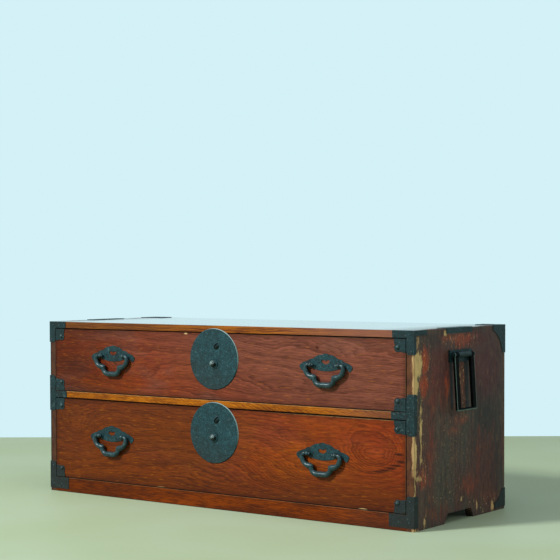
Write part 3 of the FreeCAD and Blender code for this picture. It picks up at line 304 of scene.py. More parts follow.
def front_wood(name, node, eyes, lean, seed, warmth, haze_share, gloom, edge_mark, knots, chips):
    """Zelkova with flame and eye figure under red-brown lacquer, rubbed pale along some arrises."""
    finish = Finish(name)
    colours = finish.colours
    x, y, z = finish.place()
    low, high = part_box(node)
    bulge = 0
    for eye_x, eye_z, half_x, half_z, count in eyes:
        over = (x - eye_x) / half_x
        along = (z - eye_z) / half_z
        bulge = (over * over + along * along).then("MULTIPLY", -1).then("EXPONENT") * count + bulge
    sway = finish.noise(x * 3.2 + seed, y * 3, z * 9, 3, 0.55) - 0.5
    shiver = finish.noise(x * 20 + seed, y * 40, z * 150, 2) - 0.5
    rings = z * 150 + x * lean + bulge + sway * 12 + shiver * 1.2
    line = (1 - rings.fraction()) ** 2.2
    broad = (1 - (rings * 0.23 + 0.3).fraction()) ** 1.5
    pores = finish.noise(x * 60 + seed, y * 300, z * 1400, 3, 0.6).rise(0.47, 0.7)
    fleck = finish.noise(x * 26 + seed * 3, y * 9, z * 260, 3, 0.65).rise(0.42, 0.68)
    mood = finish.noise(x * 4 + seed * 2, y * 2, z * 10, 3, 0.6)
    cloud = finish.noise(x * 3 + seed * 5, y * 2, z * 7, 3, 0.6).rise(0.48, 0.7)
    strength = finish.noise(x * 7 + seed, y * 2, z * 22, 2).rise(0.3, 0.7)
    warm = (mood * 0.9 + warmth + (x * -0.2) + (z - low.z) * -0.6).rise(0.25, 0.75)
    base = finish.mix(warm, colours.front_red, colours.front_orange)
    # partly clouded lacquer, partly a painted reflection that grows towards the upper right
    haze = (cloud * (1 - warm * 0.25) * (haze_share + 0.2)).most((z * 2 + x).rise(0.2, 1.0, haze_share))
    base = finish.mix(haze * 0.85, base, colours.front_haze_and_reflection)
    shade = x.rise(-0.12, -0.56, 0.6).most(x.rise(0.22, -0.10, gloom))
    shade = shade.most((z - low.z).rise(0.12, 0.0, gloom * 1.2))
    base = finish.mix(shade, base, colours.front_dark)
    base = finish.mix(broad * 0.35, base, colours.front_dark)
    base = finish.mix(line * (strength * 0.45 + 0.22), base, colours.front_dark)
    base = finish.mix(fleck * 0.42, base, colours.front_dark)
    base = finish.mix(pores * 0.35, base, colours.front_dark)
    glint = finish.noise(x * 34 + seed, y * 9, z * 330 + 5, 3, 0.6).rise(0.56, 0.72)
    base = finish.mix(glint * 0.22, base, colours.rail_gold)
    edge = (x - low.x).least(high.x - x).least(z - low.z).least(high.z - z)
    ragged = finish.noise(x * 90, y * 90, z * 90, 2) * 0.0016
    face = (y - low.y).rise(0.004, 0.0022)
    # darker towards the edges of the front
    darkening = edge.rise(0.014, 0.0) * (mood * 0.5 + 0.15)
    base = finish.mix(darkening, base, colours.front_dark)
    base = finish.mix(patches(finish, x, z, knots), base, colours.front_dark)
    start, end, amount = edge_mark
    above = (high.z - z + ragged).rise(0.0028, 0.0016) * x.rise(start, end, amount)
    beside = (high.x - x + ragged).rise(0.0028, 0.0016, 0.16)
    worn = above.most(beside).most(patches(finish, x, z, chips))
    base = finish.mix(worn * face, base, colours.bare)
    # painted shade along the gaps at the top, right and bottom of the front
    joint = (high.z - z).rise(0.0018, 0.0004, 0.9) * (x.rise(-0.1, 0.3, 0.6) + 0.4)
    joint = joint.most((high.x - x).rise(0.0015, 0.0003, 0.9)).most((z - low.z).rise(0.0014, 0.0002, 0.95))
    base = finish.mix(joint, base, colours.soot_and_shade)
    # painted shade on the edges and back of the front board, which are hidden in the gaps
    base = finish.mix(face * -1 + 1, base, colours.soot_and_shade)
    return finish.close(
        base_color=base,
        roughness=mood * 0.12 + line * 0.1 + 0.3,
        specular=0.11,
        normal=finish.bump(line * -0.5 + pores * -0.4, 0.00012, 0.6),
    )


def rail_wood(name, node, light, dark, slope, edge_mark, haze, dim):
    """A narrow softwood rail with slanting streaks, light where hands have rubbed it."""
    finish = Finish(name)
    colours = finish.colours
    x, y, z = finish.place()
    low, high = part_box(node)
    sway = finish.noise(x * 4, y * 6, z * 14, 3, 0.6) - 0.5
    rings = z * 230 + x * slope + sway * 12
    line = (1 - rings.fraction()) ** 1.6
    fibre = finish.noise(x * 30, y * 600, z * 1400, 3, 0.6).rise(0.4, 0.7)
    streak = finish.noise(x * 34, y * 9, z * 240, 3, 0.65).rise(0.4, 0.66)
    tone = finish.noise(x * 7, y * 2, z * 50, 3, 0.6).rise(0.38, 0.66)
    base = finish.mix(line * 0.55 + tone * 0.45 + x.rise(-0.3, 0.1, 0.12), light, dark)
    base = finish.mix(streak * 0.6, base, dark)
    base = finish.mix(fibre * 0.4, base, dark)
    # painted reflection, lighter towards the right end of the rail
    base = finish.mix(x.rise(0.28, 0.50, haze), base, colours.front_haze_and_reflection)
    side = x.rise(0.36, 0.53, 0.35).most(x.rise(-0.05, -0.45, dim))
    base = finish.mix(side, base, colours.front_dark)
    # painted shade along the lower edge of the rail
    lower = (z - low.z).rise(0.0022, 0.0006, 0.85)
    base = finish.mix(lower, base, colours.soot_and_shade)
    ragged = finish.noise(x * 70, y * 70, z * 70, 2) * 0.0026
    worn = (high.z - z + ragged).rise(0.0030, 0.0014, edge_mark)
    face = (y - low.y).rise(0.004, 0.0022)
    base = finish.mix(worn * face, base, colours.bare)
    # painted shade on the hidden faces of the rail
    base = finish.mix((1 - face) * 0.95, base, colours.soot_and_shade)
    return finish.close(
        base_color=base,
        roughness=tone * 0.1 + 0.36,
        specular=0.08,
        normal=finish.bump(line * -0.5 + fibre * -0.4, 0.00015, 0.6),
    )


# worn and stained places of a side board: depth from the front, height, half sizes, strength
BARE_MARKS = [
    (0.008, 0.425, 0.020, 0.026, 0.62),
    (0.012, 0.376, 0.026, 0.040, 1.0),
    (0.004, 0.330, 0.017, 0.034, 1.0),
    (0.029, 0.235, 0.0075, 0.055, 0.80),
    (0.031, 0.175, 0.0055, 0.040, 0.68),
    (0.001, 0.175, 0.012, 0.060, 1.0),
    (0.022, 0.119, 0.024, 0.009, 0.62),
    (0.204, 0.345, 0.0035, 0.030, 0.78),
    (0.208, 0.318, 0.003, 0.020, 0.66),
    (0.240, 0.306, 0.003, 0.030, 0.72),
    (0.142, 0.446, 0.010, 0.012, 0.62),
    (0.045, 0.012, 0.006, 0.016, 0.75),
    (0.052, 0.034, 0.004, 0.012, 0.6),
    (0.290, 0.024, 0.005, 0.018, 0.8),
    (0.320, 0.014, 0.004, 0.014, 0.75),
    (0.368, 0.014, 0.008, 0.020, 0.8),
    (0.216, 0.050, 0.006, 0.008, 0.7),
    (0.163, 0.071, 0.008, 0.003, 0.7),
    (0.0, 0.0, 0.03, 0.010, 0.7),
    (0.003, 0.070, 0.006, 0.055, 0.7),
]
RED_MARKS = [
    (0.049, 0.385, 0.017, 0.034, 1.0),
    (0.046, 0.330, 0.023, 0.028, 1.0),
    (0.090, 0.300, 0.030, 0.080, 0.35),
    (0.150, 0.432, 0.040, 0.012, 0.55),
    (0.215, 0.426, 0.055, 0.022, 0.85),
    (0.290, 0.425, 0.050, 0.020, 0.3),
    (0.147, 0.318, 0.012, 0.036, 0.75),
    (0.226, 0.315, 0.022, 0.060, 0.5),
    (0.250, 0.080, 0.045, 0.030, 0.6),
    (0.297, 0.140, 0.012, 0.080, 0.5),
    (0.350, 0.150, 0.030, 0.080, 0.3),
    (0.215, 0.236, 0.050, 0.012, 0.5),
    (0.172, 0.215, 0.026, 0.010, 0.5),
    (0.075, 0.170, 0.020, 0.100, 0.4),
    (0.040, 0.115, 0.024, 0.026, 0.65),
    (0.330, 0.050, 0.060, 0.034, 0.4),
    (0.100, 0.030, 0.070, 0.020, 0.4),
]
FLECK_MARKS = [
    (0.030, 0.370, 0.050, 0.060, 1.0),
    (0.030, 0.230, 0.022, 0.100, 0.9),
    (0.210, 0.426, 0.075, 0.020, 1.0),
    (0.222, 0.320, 0.024, 0.080, 1.0),
    (0.170, 0.150, 0.090, 0.120, 0.35),
    (0.035, 0.125, 0.040, 0.030, 0.8),
    (0.330, 0.025, 0.090, 0.024, 0.8),
    (0.130, 0.060, 0.060, 0.020, 0.5),
]
WINE_MARKS = [
    (0.110, 0.360, 0.055, 0.070, 0.8),
    (0.330, 0.345, 0.090, 0.080, 1.0),
    (0.300, 0.425, 0.060, 0.024, 0.9),
    (0.330, 0.150, 0.050, 0.080, 0.5),
    (0.060, 0.180, 0.040, 0.100, 0.45),
]
SMOKE_MARKS = [
    (0.335, 0.240, 0.060, 0.045, 0.95),
    (0.300, 0.285, 0.030, 0.040, 0.6),
    (0.095, 0.430, 0.050, 0.016, 0.6),
    (0.380, 0.170, 0.030, 0.110, 0.6),
    (0.290, 0.200, 0.030, 0.060, 0.4),
]
GREY_MARKS = [
    (0.140, 0.130, 0.060, 0.110, 0.9),
    (0.205, 0.170, 0.060, 0.050, 0.8),
    (0.300, 0.250, 0.040, 0.060, 0.8),
    (0.085, 0.432, 0.060, 0.022, 0.8),
    (0.410, 0.340, 0.016, 0.120, 0.7),
    (0.100, 0.090, 0.040, 0.030, 0.6),
    (0.060, 0.240, 0.020, 0.060, 0.5),
]


def paint_side(finish, x, y, z):
    """Colour, bareness, bare colour, height and dust of a side's dark softwood, its grain upright."""
    colours = finish.colours
    depth = y - FRONT
    wander = finish.noise(x * 30, y * 110, z * 22, 4, 0.65) - 0.5
    sway = finish.noise(x * 9, y * 26, z * 5, 3, 0.6)
    stripes = finish.noise(x * 40, y * 170 + sway * 3, z * 6, 4, 0.65)
    fibre = finish.noise(x * 300, y * 1000, z * 34, 2, 0.6)
    dust = finish.noise(x * 90, y * 90, z * 45, 4, 0.75)
    base = finish.mix(sway.rise(0.35, 0.65), colours.side_brown, colours.side_grey)
    grey = patches(finish, depth + wander * 0.05, z + wander * 0.04, GREY_MARKS)
    base = finish.mix(grey * (dust.rise(0.3, 0.6) * 0.6 + 0.3), base, colours.side_grey)
    wine = patches(finish, depth + wander * 0.05, z + wander * 0.04, WINE_MARKS)
    base = finish.mix(wine * (dust * 0.5 + 0.65), base, colours.side_wine)
    smoke = patches(finish, depth + wander * 0.06, z + wander * 0.05, SMOKE_MARKS)
    base = finish.mix(smoke * 0.8, base, colours.side_dark)
    red = patches(finish, depth + wander * 0.04, z + wander * 0.05, RED_MARKS)
    smear = finish.noise(x * 60, y * 150, z * 40, 4, 0.7)
    red = (red * 0.9 + (stripes - 0.5) * 1.5 + (smear - 0.5) * 1.8).rise(0.15, 1.15)
    base = finish.mix(red * 0.9, base, colours.side_red)
    base = finish.mix(stripes.rise(0.45, 0.72) * (0.68 - red * 0.4), base, colours.side_dark)
    base = finish.mix(dust.rise(0.50, 0.70) * 0.45, base, colours.side_dark)
    base = finish.mix(dust.rise(0.44, 0.30) * (0.5 - red * 0.3), base, colours.bare_dark)
    bare = patches(finish, depth + wander * 0.02, z + wander * 0.02, BARE_MARKS)
    bare = bare * 0.9 + (fibre - 0.5) * 0.7 + (dust - 0.5) * 1.2 + (smear - 0.5) * 1.2
    bare = (bare - 0.45).rise(0.0, 0.3)
    worn = fibre.rise(0.4, 0.65) * 0.5 + dust.rise(0.5, 0.8) * 0.4
    pale = finish.mix(worn, colours.side_bare, colours.bare_dark)
    base = finish.mix((depth + wander * 0.06).rise(0.12, 0.34, 0.22), base, colours.sheet_dark)
    edge = (BACK - y + (dust - 0.5) * 0.016).rise(0.012, 0.002, 0.25)
    base = finish.mix(edge, base, colours.bare_dark)
    crumbs = finish.noise(x * 230, y * 230, z * 150, 3, 0.7)
    fleck = (crumbs + (smear - 0.5) * 0.5).rise(0.60, 0.70)
    spread = patches(finish, depth + wander * 0.05, z + wander * 0.04, FLECK_MARKS)
    base = finish.mix(fleck * spread * 0.75, base, colours.side_bare)
    return base, bare, pale, stripes * 0.6 + fibre * 0.4, dust


def painted_arm_shade(y, z, dust):
    """Painted shade that the two arms of a carrying bail leave beside them on a side board."""
    low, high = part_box("carrying_bail_right")
    arm_width = 0.0165
    soft = 0.002
    lean = 0.075
    darkening = 0
    for start, width in ((low.y - 0.004, 0.012), (high.y - arm_width - 0.009, 0.017)):
        off = abs(y - (high.z - z) * lean - start - width / 2) + (dust - 0.5) * 0.006
        darkening = off.rise(width / 2 + soft, width / 2 - soft).most(darkening)
    return darkening * z.rise(low.z - 0.002, low.z + 0.006) * z.rise(high.z - 0.012, high.z - 0.02)


def side_wood():
    """The sides: dark lacquer, worn bare along the right front corner, plain on the front edges."""
    finish = Finish("side_wood")
    colours = finish.colours
    x, y, z = finish.place()
    base, bare, pale, height, dust = paint_side(finish, x, y, z)
    depth = y - FRONT
    glow = finish.noise(x * 200, y * 10, z * 30 + 4, 4, 0.7)
    stile = finish.mix(glow.rise(0.4, 0.7) * 0.45, colours.stile_brown, colours.rail_brown)
    stile = finish.mix(dust.rise(0.4, 0.65) * 0.8, stile, colours.front_dark)
    stile = finish.mix((x < 0) * 0.4, stile, colours.front_dark)
    stile = finish.mix(x.rise(-HALF + 0.006, -HALF + 0.001, 0.85), stile, colours.side_dark)
    front = depth.rise(0.0022, 0.0010)
    base = finish.mix(front, base, stile)
    pale = finish.mix(front * 0.55, pale, colours.stile_brown)
    near = (abs(x) - HALF + 0.004 + (glow - 0.5) * 0.024).rise(-0.002, 0.001) * (x > 0)
    bare = bare * near
    base = finish.mix(bare * 0.95, base, pale)
    # painted shade beside the arms of the carrying bail, in the dark sheet iron colour
    base = finish.mix(painted_arm_shade(y, z, dust) * 0.8, base, colours.sheet_dark)
    # painted shade on the inner faces of the side boards
    within = (HALF - abs(x)).rise(0.0165, 0.0185) * depth.rise(0.002, 0.004)
    base = finish.mix(within, base, colours.soot_and_shade)
    return finish.close(
        base_color=base,
        roughness=dust * 0.3 + bare * 0.2 + 0.42,
        specular=0.25,
        normal=finish.bump(height + bare * -0.6, 0.0004, 0.7),
    )


def top_wood():
    """The lacquered top: long grain, a high gloss, its front edge rubbed to golden wood."""
    finish = Finish("top_wood")
    colours = finish.colours
    x, y, z = finish.place()
    sway = finish.noise(x * 2.5, y * 9, z * 9, 3, 0.6)
    rings = y * 150 + z * 210 + x * 3 + sway * 16
    line = (1 - rings.fraction()) ** 2
    fibre = finish.noise(x * 24, y * 1200, z * 1200, 3, 0.6)
    base = finish.mix(line * 0.6, colours.top, colours.side_dark)
    streak = finish.noise(x * 12, y * 4, z * 190, 3, 0.65).rise(0.38, 0.66)
    edge = finish.mix(line * 0.4 + streak * 0.5 + 0.42, colours.rail_gold, colours.rail_brown)
    # painted reflection on the front edge of the top, towards the right
    edge = finish.mix(x.rise(0.1, 0.45, 0.75), edge, colours.front_haze_and_reflection)
    edge = finish.mix(x.rise(0.05, -0.3, 0.65), edge, colours.stile_brown)
    base = finish.mix((y - FRONT).rise(0.0016, 0.0004), base, edge)
    base = finish.mix(fibre.rise(0.5, 0.75) * 0.35, base, colours.side_dark)
    ends, bare, pale = paint_side(finish, x, y, z)[:3]
    ends = finish.mix(bare * 0.95, ends, pale)
    at_end = (abs(x) - HALF).rise(-0.0012, -0.0006)
    base = finish.mix(at_end, base, ends)
    # painted shade on the underside of the top board
    under = (z - HEIGHT + 0.016).rise(0.001, -0.0005) * (y - FRONT).rise(0.001, 0.002)
    base = finish.mix(under * (1 - at_end), base, colours.soot_and_shade)
    upper = (z - HEIGHT).rise(-0.002, -0.0005) * (1 - at_end)
    dull = abs(x).rise(0.42, 0.57, 0.6)
    return finish.close(
        base_color=base,
        roughness=(1 - upper) * 0.2 + line * 0.03 + dull * 0.2 + 0.16,
        specular=0.15,
        coat_weight=upper * (1 - dull) * 0.9,
        coat_roughness=0.05,
        normal=finish.bump(line * 0.3 + fibre * 0.3, 0.00005, 0.5),
    )


def inner_wood(name, along, seed):
    """Bare paulownia: pale, soft, with fine grain along the board."""
    finish = Finish(name)
    colours = finish.colours
    point = finish.place()
    scales = [3 if index == along else 90 for index in range(3)]
    x, y, z = [value * scale + seed for value, scale in zip(point, scales)]
    rings = finish.noise(x, y, z, 2, 0.5)
    line = (rings * 9).fraction()
    fibre = finish.noise(x * 9, y * 9, z * 9, 2)
    stain = finish.noise(point[0] * 5, point[1] * 5, point[2] * 5, 3)
    base = finish.mix(line * 0.5, colours.inside, colours.inside_dark)
    base = finish.mix(fibre.rise(0.5, 0.8) * 0.3, base, colours.inside_dark)
    base = finish.mix(stain.rise(0.45, 0.75) * 0.4, base, colours.inside_stain)
    return finish.close(
        base_color=base,
        roughness=stain * 0.2 + 0.6,
        normal=finish.bump(line * 0.5 + fibre * 0.5, 0.0002, 0.6),
    )


def rub_and_highlight_arms(finish, tone, cloud, grit, arms):
    """A carrying bail's outer edges and foot made pale: partly polished by hands, partly a painted
    highlight.
    """
    x, y, z = finish.place()
    centre_y, foot_z, outer_x, half = arms
    kick = 0.065
    wide = abs(y - centre_y)
    near = (abs(x) + (z - foot_z) * kick - outer_x).rise(-0.0017, -0.0007)
    # the pale outer edges and foot are partly wear and partly a painted highlight
    edge_mark = (z - foot_z).rise(0.0045, 0.001) * near.most(0.3)
    edge_mark = edge_mark.most((abs(wide - half) + (grit - 0.5) * 0.001).rise(0.0015, 0.0006, 0.9) * near)
    return finish.mix(edge_mark * (cloud * 0.6 + 0.5), tone, finish.colours.rubbed_and_highlight)


def shade_fitting(finish, tone, shade):
    """Painted shade over the lower right of a small round fitting, and in its slanted slit where it has one.
    """
    x, _, z = finish.place()
    centre_x, centre_z, radius, tilt = shade
    # painted shade over the lower right of the fitting, and along its slit
    low = ((x - centre_x) * 0.5 - z + centre_z).rise(radius * 0.05, radius * 0.6, 0.85)
    if tilt:
        slit = abs((x - centre_x) * math.cos(tilt) - (z - centre_z) * math.sin(tilt))
        low = low.most(slit.rise(0.0024, 0.0014))
    return finish.mix(low, tone, finish.colours.soot_and_shade)


def light_rim(finish, tone, grit, rim):
    """A disc's bevel with a painted highlight up and to the right and painted shade below, and its face
    browner towards the bottom.
    """
    x, _, z = finish.place()
    colours = finish.colours
    centre_x, centre_z, radius = rim
    over = x - centre_x
    up = z - centre_z
    reach = (over * over + up * up) ** 0.5
    edge_mark = (reach + (grit - 0.5) * 0.0012).rise(radius - 0.0018, radius - 0.0008)
    low = (over * 0.5 + up).rise(radius * 0.2, radius * -0.9, 0.8)
    tone = finish.mix(low * (grit * 0.6 + 0.1), tone, colours.rust)
    # painted highlight on the bevel up and to the right, painted shade on it down and to the left
    tone = finish.mix(edge_mark * (over + up).rise(0.03, 0.09) * 0.9, tone, colours.rubbed_and_highlight)
    return finish.mix(edge_mark * (over + up).rise(0.0, -0.06) * 0.7, tone, colours.soot_and_shade)


def iron(name, base, dark, rough=0.42, dirt=0.3, gloss=0.22, speck=1, soiled=False, **places):
    """Blued iron: hammered, mottled, grainy; the places are where it is worn by rubbing, and where highlight
    and shade are painted on it.
    """
    finish = Finish(name)
    colours = finish.colours
    x, y, z = finish.place()
    cloud = finish.noise(x * 45, y * 45, z * 45, 4, 0.65)
    grit = finish.noise(x * 420, y * 420, z * 420, 3, 0.75)
    hammer = finish.noise(x * 150, y * 150, z * 150, 2)
    tone = finish.mix(grit.rise(0.36, 0.64), dark, base)
    tone = finish.mix(cloud.rise(0.4, 0.7) * 0.6, tone, dark)
    tone = finish.mix(hammer.rise(0.50, 0.66, 0.5 * speck), tone, dark)
    tone = finish.mix(grit.rise(0.60, 0.78, 0.4 * speck), tone, colours.rubbed_and_highlight)
    tone = finish.mix(hammer.rise(0.38, 0.26, 0.14 * speck), tone, colours.rubbed_and_highlight)
    stain = (cloud + (grit - 0.5) * 0.5).rise(0.56, 0.78, dirt)
    if soiled:
        stain = stain.most(z.rise(0.16, 0.02, 0.5))
    tone = finish.mix(stain, tone, colours.rust)
    if "arms" in places:
        tone = rub_and_highlight_arms(finish, tone, cloud, grit, places["arms"])
    if "shade" in places:
        tone = shade_fitting(finish, tone, places["shade"])
    if "rim" in places:
        tone = light_rim(finish, tone, grit, places["rim"])
    return finish.close(
        base_color=tone,
        metallic=0.0 if "arms" in places else 0.15,
        roughness=grit * 0.22 + cloud * 0.12 + rough - 0.16,
        specular=gloss,
        normal=finish.bump(grit * 0.35 + hammer * 0.65, 0.0005, 0.45),
    )


def dress(names, material, edge=None):
    """Give a finish to nodes of the frame, and round their edges where an edge width is given."""
    for name in names:
        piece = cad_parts[name]
        piece.data.materials.clear()
        piece.data.materials.append(material)
        if edge:
            weld = piece.modifiers.new("seam", "WELD")
            weld.merge_threshold = 0.00001
            bevel = piece.modifiers.new("edge", "BEVEL")
            bevel.width = edge
            bevel.segments = 2
            bevel.limit_method = "ANGLE"
            bevel.angle_limit = math.radians(50)
            bevel.harden_normals = True


def new_piece(name, shape, material, body):
    """Turn a bmesh into a smooth piece that rides on a body."""
    mesh = bpy.data.meshes.new(name)
    shape.to_mesh(mesh)
    shape.free()
    mesh.materials.append(material)
    for polygon in mesh.polygons:
        polygon.use_smooth = True
    piece = bpy.data.objects.new(name, mesh)
    bpy.context.scene.collection.objects.link(piece)
    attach(piece, body)


def add_dome(shape, place, normal, radius, rise, chance):
    """A hand-forged nail head on a face: a low dome, not quite round, its foot let into the face."""
    rings = 4
    sides = 14
    turn = Vector(normal).to_track_quat("Z", "Y").to_matrix().to_4x4()
    base = Matrix.Translation(place) @ turn
    squeeze = chance.uniform(0.88, 1.0)
    swing = chance.uniform(0, math.tau)
    loops = []
    for ring in range(rings):
        share = ring / (rings - 0.4)
        width = radius * math.cos(share * math.pi / 2) ** 0.7
        height = rise * math.sin(share * math.pi / 2) - (rise * 0.25 if ring == 0 else 0)
        loop = []
        for side in range(sides):
            around = math.tau * side / sides
            x = width * math.cos(around)
            y = width * math.sin(around) * squeeze
            point = Vector((x, y, height))
            point.rotate(Euler((0, 0, swing)))
            loop.append(shape.verts.new(base @ point))
        loops.append(loop)
    for lower, upper in zip(loops, loops[1:]):
        for side in range(sides):
            following = (side + 1) % sides
            shape.faces.new((lower[side], lower[following], upper[following], upper[side]))
    shape.faces.new(loops[-1])
    shape.faces.new(list(reversed(loops[0])))


def add_nails(name, places, normal, material, body, radius=None, rise=None):
    """A set of small nail heads as one piece."""
    sizes = bpy.context.scene.chest_sizes
    chance = random.Random(name)
    shape = bmesh.new()
    for place in places:
        add_dome(shape, place, normal, radius or sizes.nail_radius, rise or sizes.nail_rise, chance)
    new_piece(name, shape, material, body)


class CHEST_OT_case(bpy.types.Operator):
    """Finish the boards and rails of the case."""

    bl_idname = "chest.case"
    bl_label = "Case boards"

    def execute(self, context):
        colours = context.scene.chest_colours
        edge = context.scene.chest_sizes.board_edge
        dress(["top_board"], top_wood(), edge)
        dress(["side_board_left", "side_board_right"], side_wood(), edge)
        rails = (
            ("mid_rail", "mid_rail_wood", colours.rail_gold, colours.rail_brown, (55, 0.3, 0.45, 0.1)),
            ("bottom_rail", "foot_rail_wood", colours.plinth_gold, colours.plinth_brown, (9, 0.1, 0.1, 0.4)),
        )
        for node, name, light, dark, look in rails:
            dress([node], rail_wood(name, node, light, dark, *look), edge)
        dress(["back_board_lower", "back_board_upper"], inner_wood("back_wood", 0, 3.1), edge)
        nail = iron("board_nail_iron", colours.nail, colours.sheet_dark, 0.5, 0.6)
        margin = 0.02
        inset = 0.012
        nails = 10
        for board in ("back_board_lower", "back_board_upper"):
            low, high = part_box(board)
            run = high.x - low.x - 2 * margin
            row = [low.x + margin + run * step / (nails - 1) for step in range(nails)]
            places = [(x, high.y, z) for x in row for z in (low.z + inset, high.z - inset)]
            add_nails(board + "_nails", places, (0, 1, 0), nail, "case")
        dress(["dust_board", "bottom_board", "drawer_stops"], inner_wood("floor_wood", 0, 7.7), None)
        return {"FINISHED"}


# eyes of the figure in each front: place, half sizes and the number of rings, below zero for a hollow
EYES = {
    "upper": [
        (-0.247, 0.321, 0.085, 0.030, 7),
        (0.205, 0.300, 0.20, 0.030, 5),
        (-0.455, 0.372, 0.09, 0.05, -4),
        (0.42, 0.385, 0.12, 0.03, 4),
    ],
    "lower": [
        (0.478, 0.158, 0.095, 0.062, 14),
        (-0.476, 0.166, 0.070, 0.050, 10),
        (-0.12, 0.12, 0.20, 0.05, -6),
        (0.30, 0.11, 0.20, 0.10, 12),
    ],
}


# dark marks and pale chips of each front: place, half sizes and strength
KNOTS = {
    "upper": [
        (0.305, 0.409, 0.005, 0.004, 0.7),
        (-0.500, 0.350, 0.060, 0.012, 0.4),
        (-0.470, 0.330, 0.060, 0.007, 0.4),
    ],
    "lower": [
        (0.476, 0.130, 0.016, 0.0022, 0.85),
        (0.492, 0.134, 0.016, 0.0024, 0.9),
        (0.508, 0.140, 0.016, 0.0024, 0.9),
        (0.523, 0.147, 0.014, 0.0024, 0.9),
        (0.536, 0.157, 0.012, 0.0030, 0.85),
        (0.531, 0.173, 0.012, 0.0034, 0.95),
    ],
}
CHIPS = {
    "upper": [(-0.096, 0.433, 0.005, 0.0018, 0.9)],
    "lower": [(0.433, 0.0405, 0.010, 0.0016, 0.9), (-0.18, 0.0405, 0.012, 0.0010, 0.5)],
}
# where along each front the rubbing of the upper arris starts and is full, and how strong it gets
RUBS = {"upper": (0.0, 0.5, 0.1), "lower": (0.10, 0.40, 0.65)}
# slant of the grain, seed, warmth, share of haze and painted reflection, and gloom of each front
MOODS = {"upper": (9, 2.0, -0.12, 0.8, 0.1), "lower": (-4, 8.5, 0.2, 0.0, 0.5)}


class CHEST_OT_drawers(bpy.types.Operator):
    """Finish the drawers: figured fronts and bare insides."""

    bl_idname = "chest.drawers"
    bl_label = "Drawers"

    def execute(self, context):
        edge = context.scene.chest_sizes.board_edge
        walls = inner_wood("drawer_wall_wood", 1, 1.3)
        backs = inner_wood("drawer_back_wood", 0, 5.9)
        pegs = inner_wood("peg_wood", 2, 9.2)
        for drawer in ("upper", "lower"):
            node = drawer + "_drawer_front"
            marks = (RUBS[drawer], KNOTS[drawer], CHIPS[drawer])
            wood = front_wood(drawer + "_front_wood", node, EYES[drawer], *MOODS[drawer], *marks)
            dress([node], wood, edge)
            dress([drawer + "_drawer_side_left", drawer + "_drawer_side_right"], walls)
            dress([drawer + "_drawer_back", drawer + "_drawer_bottom"], backs)
            self.peg(drawer, "right", 1, pegs)
            self.peg(drawer, "left", -1, pegs)
        return {"FINISHED"}

    def peg(self, drawer, hand, way, wood):
        """Wooden pegs through a drawer wall, in the end of the back and along the front joint."""
        radius = bpy.context.scene.chest_sizes.peg_radius
        rise = 0.0002
        low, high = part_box(drawer + "_drawer_side_" + hand)
        face = high.x if way > 0 else low.x
        rows = [low.y + 0.012, high.y - 0.008]
        places = [(face, y, low.z + (high.z - low.z) * share) for y in rows for share in (0.15, 0.5, 0.85)]
        name = drawer + "_pegs_" + hand
        add_nails(name, places, (way, 0, 0), wood, drawer + "_drawer", radius, rise)


class CHEST_OT_irons(bpy.types.Operator):
    """Finish the irons of the case and the drawer corners, and nail them on."""

    bl_idname = "chest.irons"
    bl_label = "Case irons"

    def execute(self, context):
        colours = context.scene.chest_colours
        edge = context.scene.chest_sizes.iron_edge
        sheet = iron("case_iron", colours.case_sheet, colours.sheet_dark, 0.5, 0.35, soiled=True)
        nail = iron("nail_iron", colours.nail, colours.case_sheet, 0.38, 0.2)
        names = [
            "back_foot_iron",
            "back_top_iron",
            "bottom_corner_iron",
            "mid_iron",
            "side_strap",
            "top_corner_iron",
        ]
        for name in names:
            dress([name + "_left", name + "_right"], sheet, edge)
        for drawer in ("upper", "lower"):
            dress([drawer + "_corner_irons"], sheet, edge)
            dome = iron(drawer + "_nail_iron", colours.dome_nail, colours.sheet_dark, 0.3, 0.1)
            dress([drawer + "_corner_nails"], dome)
        low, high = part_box("mid_iron_right")
        skin = low.y
        middle = (low.z + high.z) / 2
        # nails of the right irons: across and height on the front, depth and height on the side
        fronts = [
            (HALF - 0.006, HEIGHT - 0.048),
            (HALF - 0.052, HEIGHT - 0.009),
            (HALF - 0.012, HEIGHT - 0.010),
            (HALF - 0.009, middle + 0.038),
            (HALF - 0.014, middle - 0.036),
            (HALF - 0.052, middle),
            (HALF - 0.010, middle + 0.004),
            (HALF - 0.010, 0.068),
            (HALF - 0.040, 0.021),
            (HALF - 0.012, 0.020),
        ]
        sides = [
            (0.0045, HEIGHT - 0.045),
            (0.048, HEIGHT - 0.006),
            (0.0065, middle + 0.036),
            (0.0065, middle - 0.036),
            (0.0065, middle),
            (0.010, 0.066),
            (0.010, 0.022),
            (0.154, HEIGHT - 0.006),
            (0.205, HEIGHT - 0.006),
            (0.256, HEIGHT - 0.006),
            (0.378, HEIGHT - 0.006),
            (0.424, HEIGHT - 0.058),
            (0.423, HEIGHT - 0.012),
            (0.424, 0.045),
            (0.385, 0.012),
        ]
        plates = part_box("side_strap_right")[1].x
        for hand, way in (("right", 1), ("left", -1)):
            places = [(way * x, skin, z) for x, z in fronts]
            add_nails("front_nails_" + hand, places, (0, -1, 0), nail, "case")
            places = [(way * plates, FRONT + depth, z) for depth, z in sides]
            add_nails("side_nails_" + hand, places, (way, 0, 0), nail, "case")
        return {"FINISHED"}


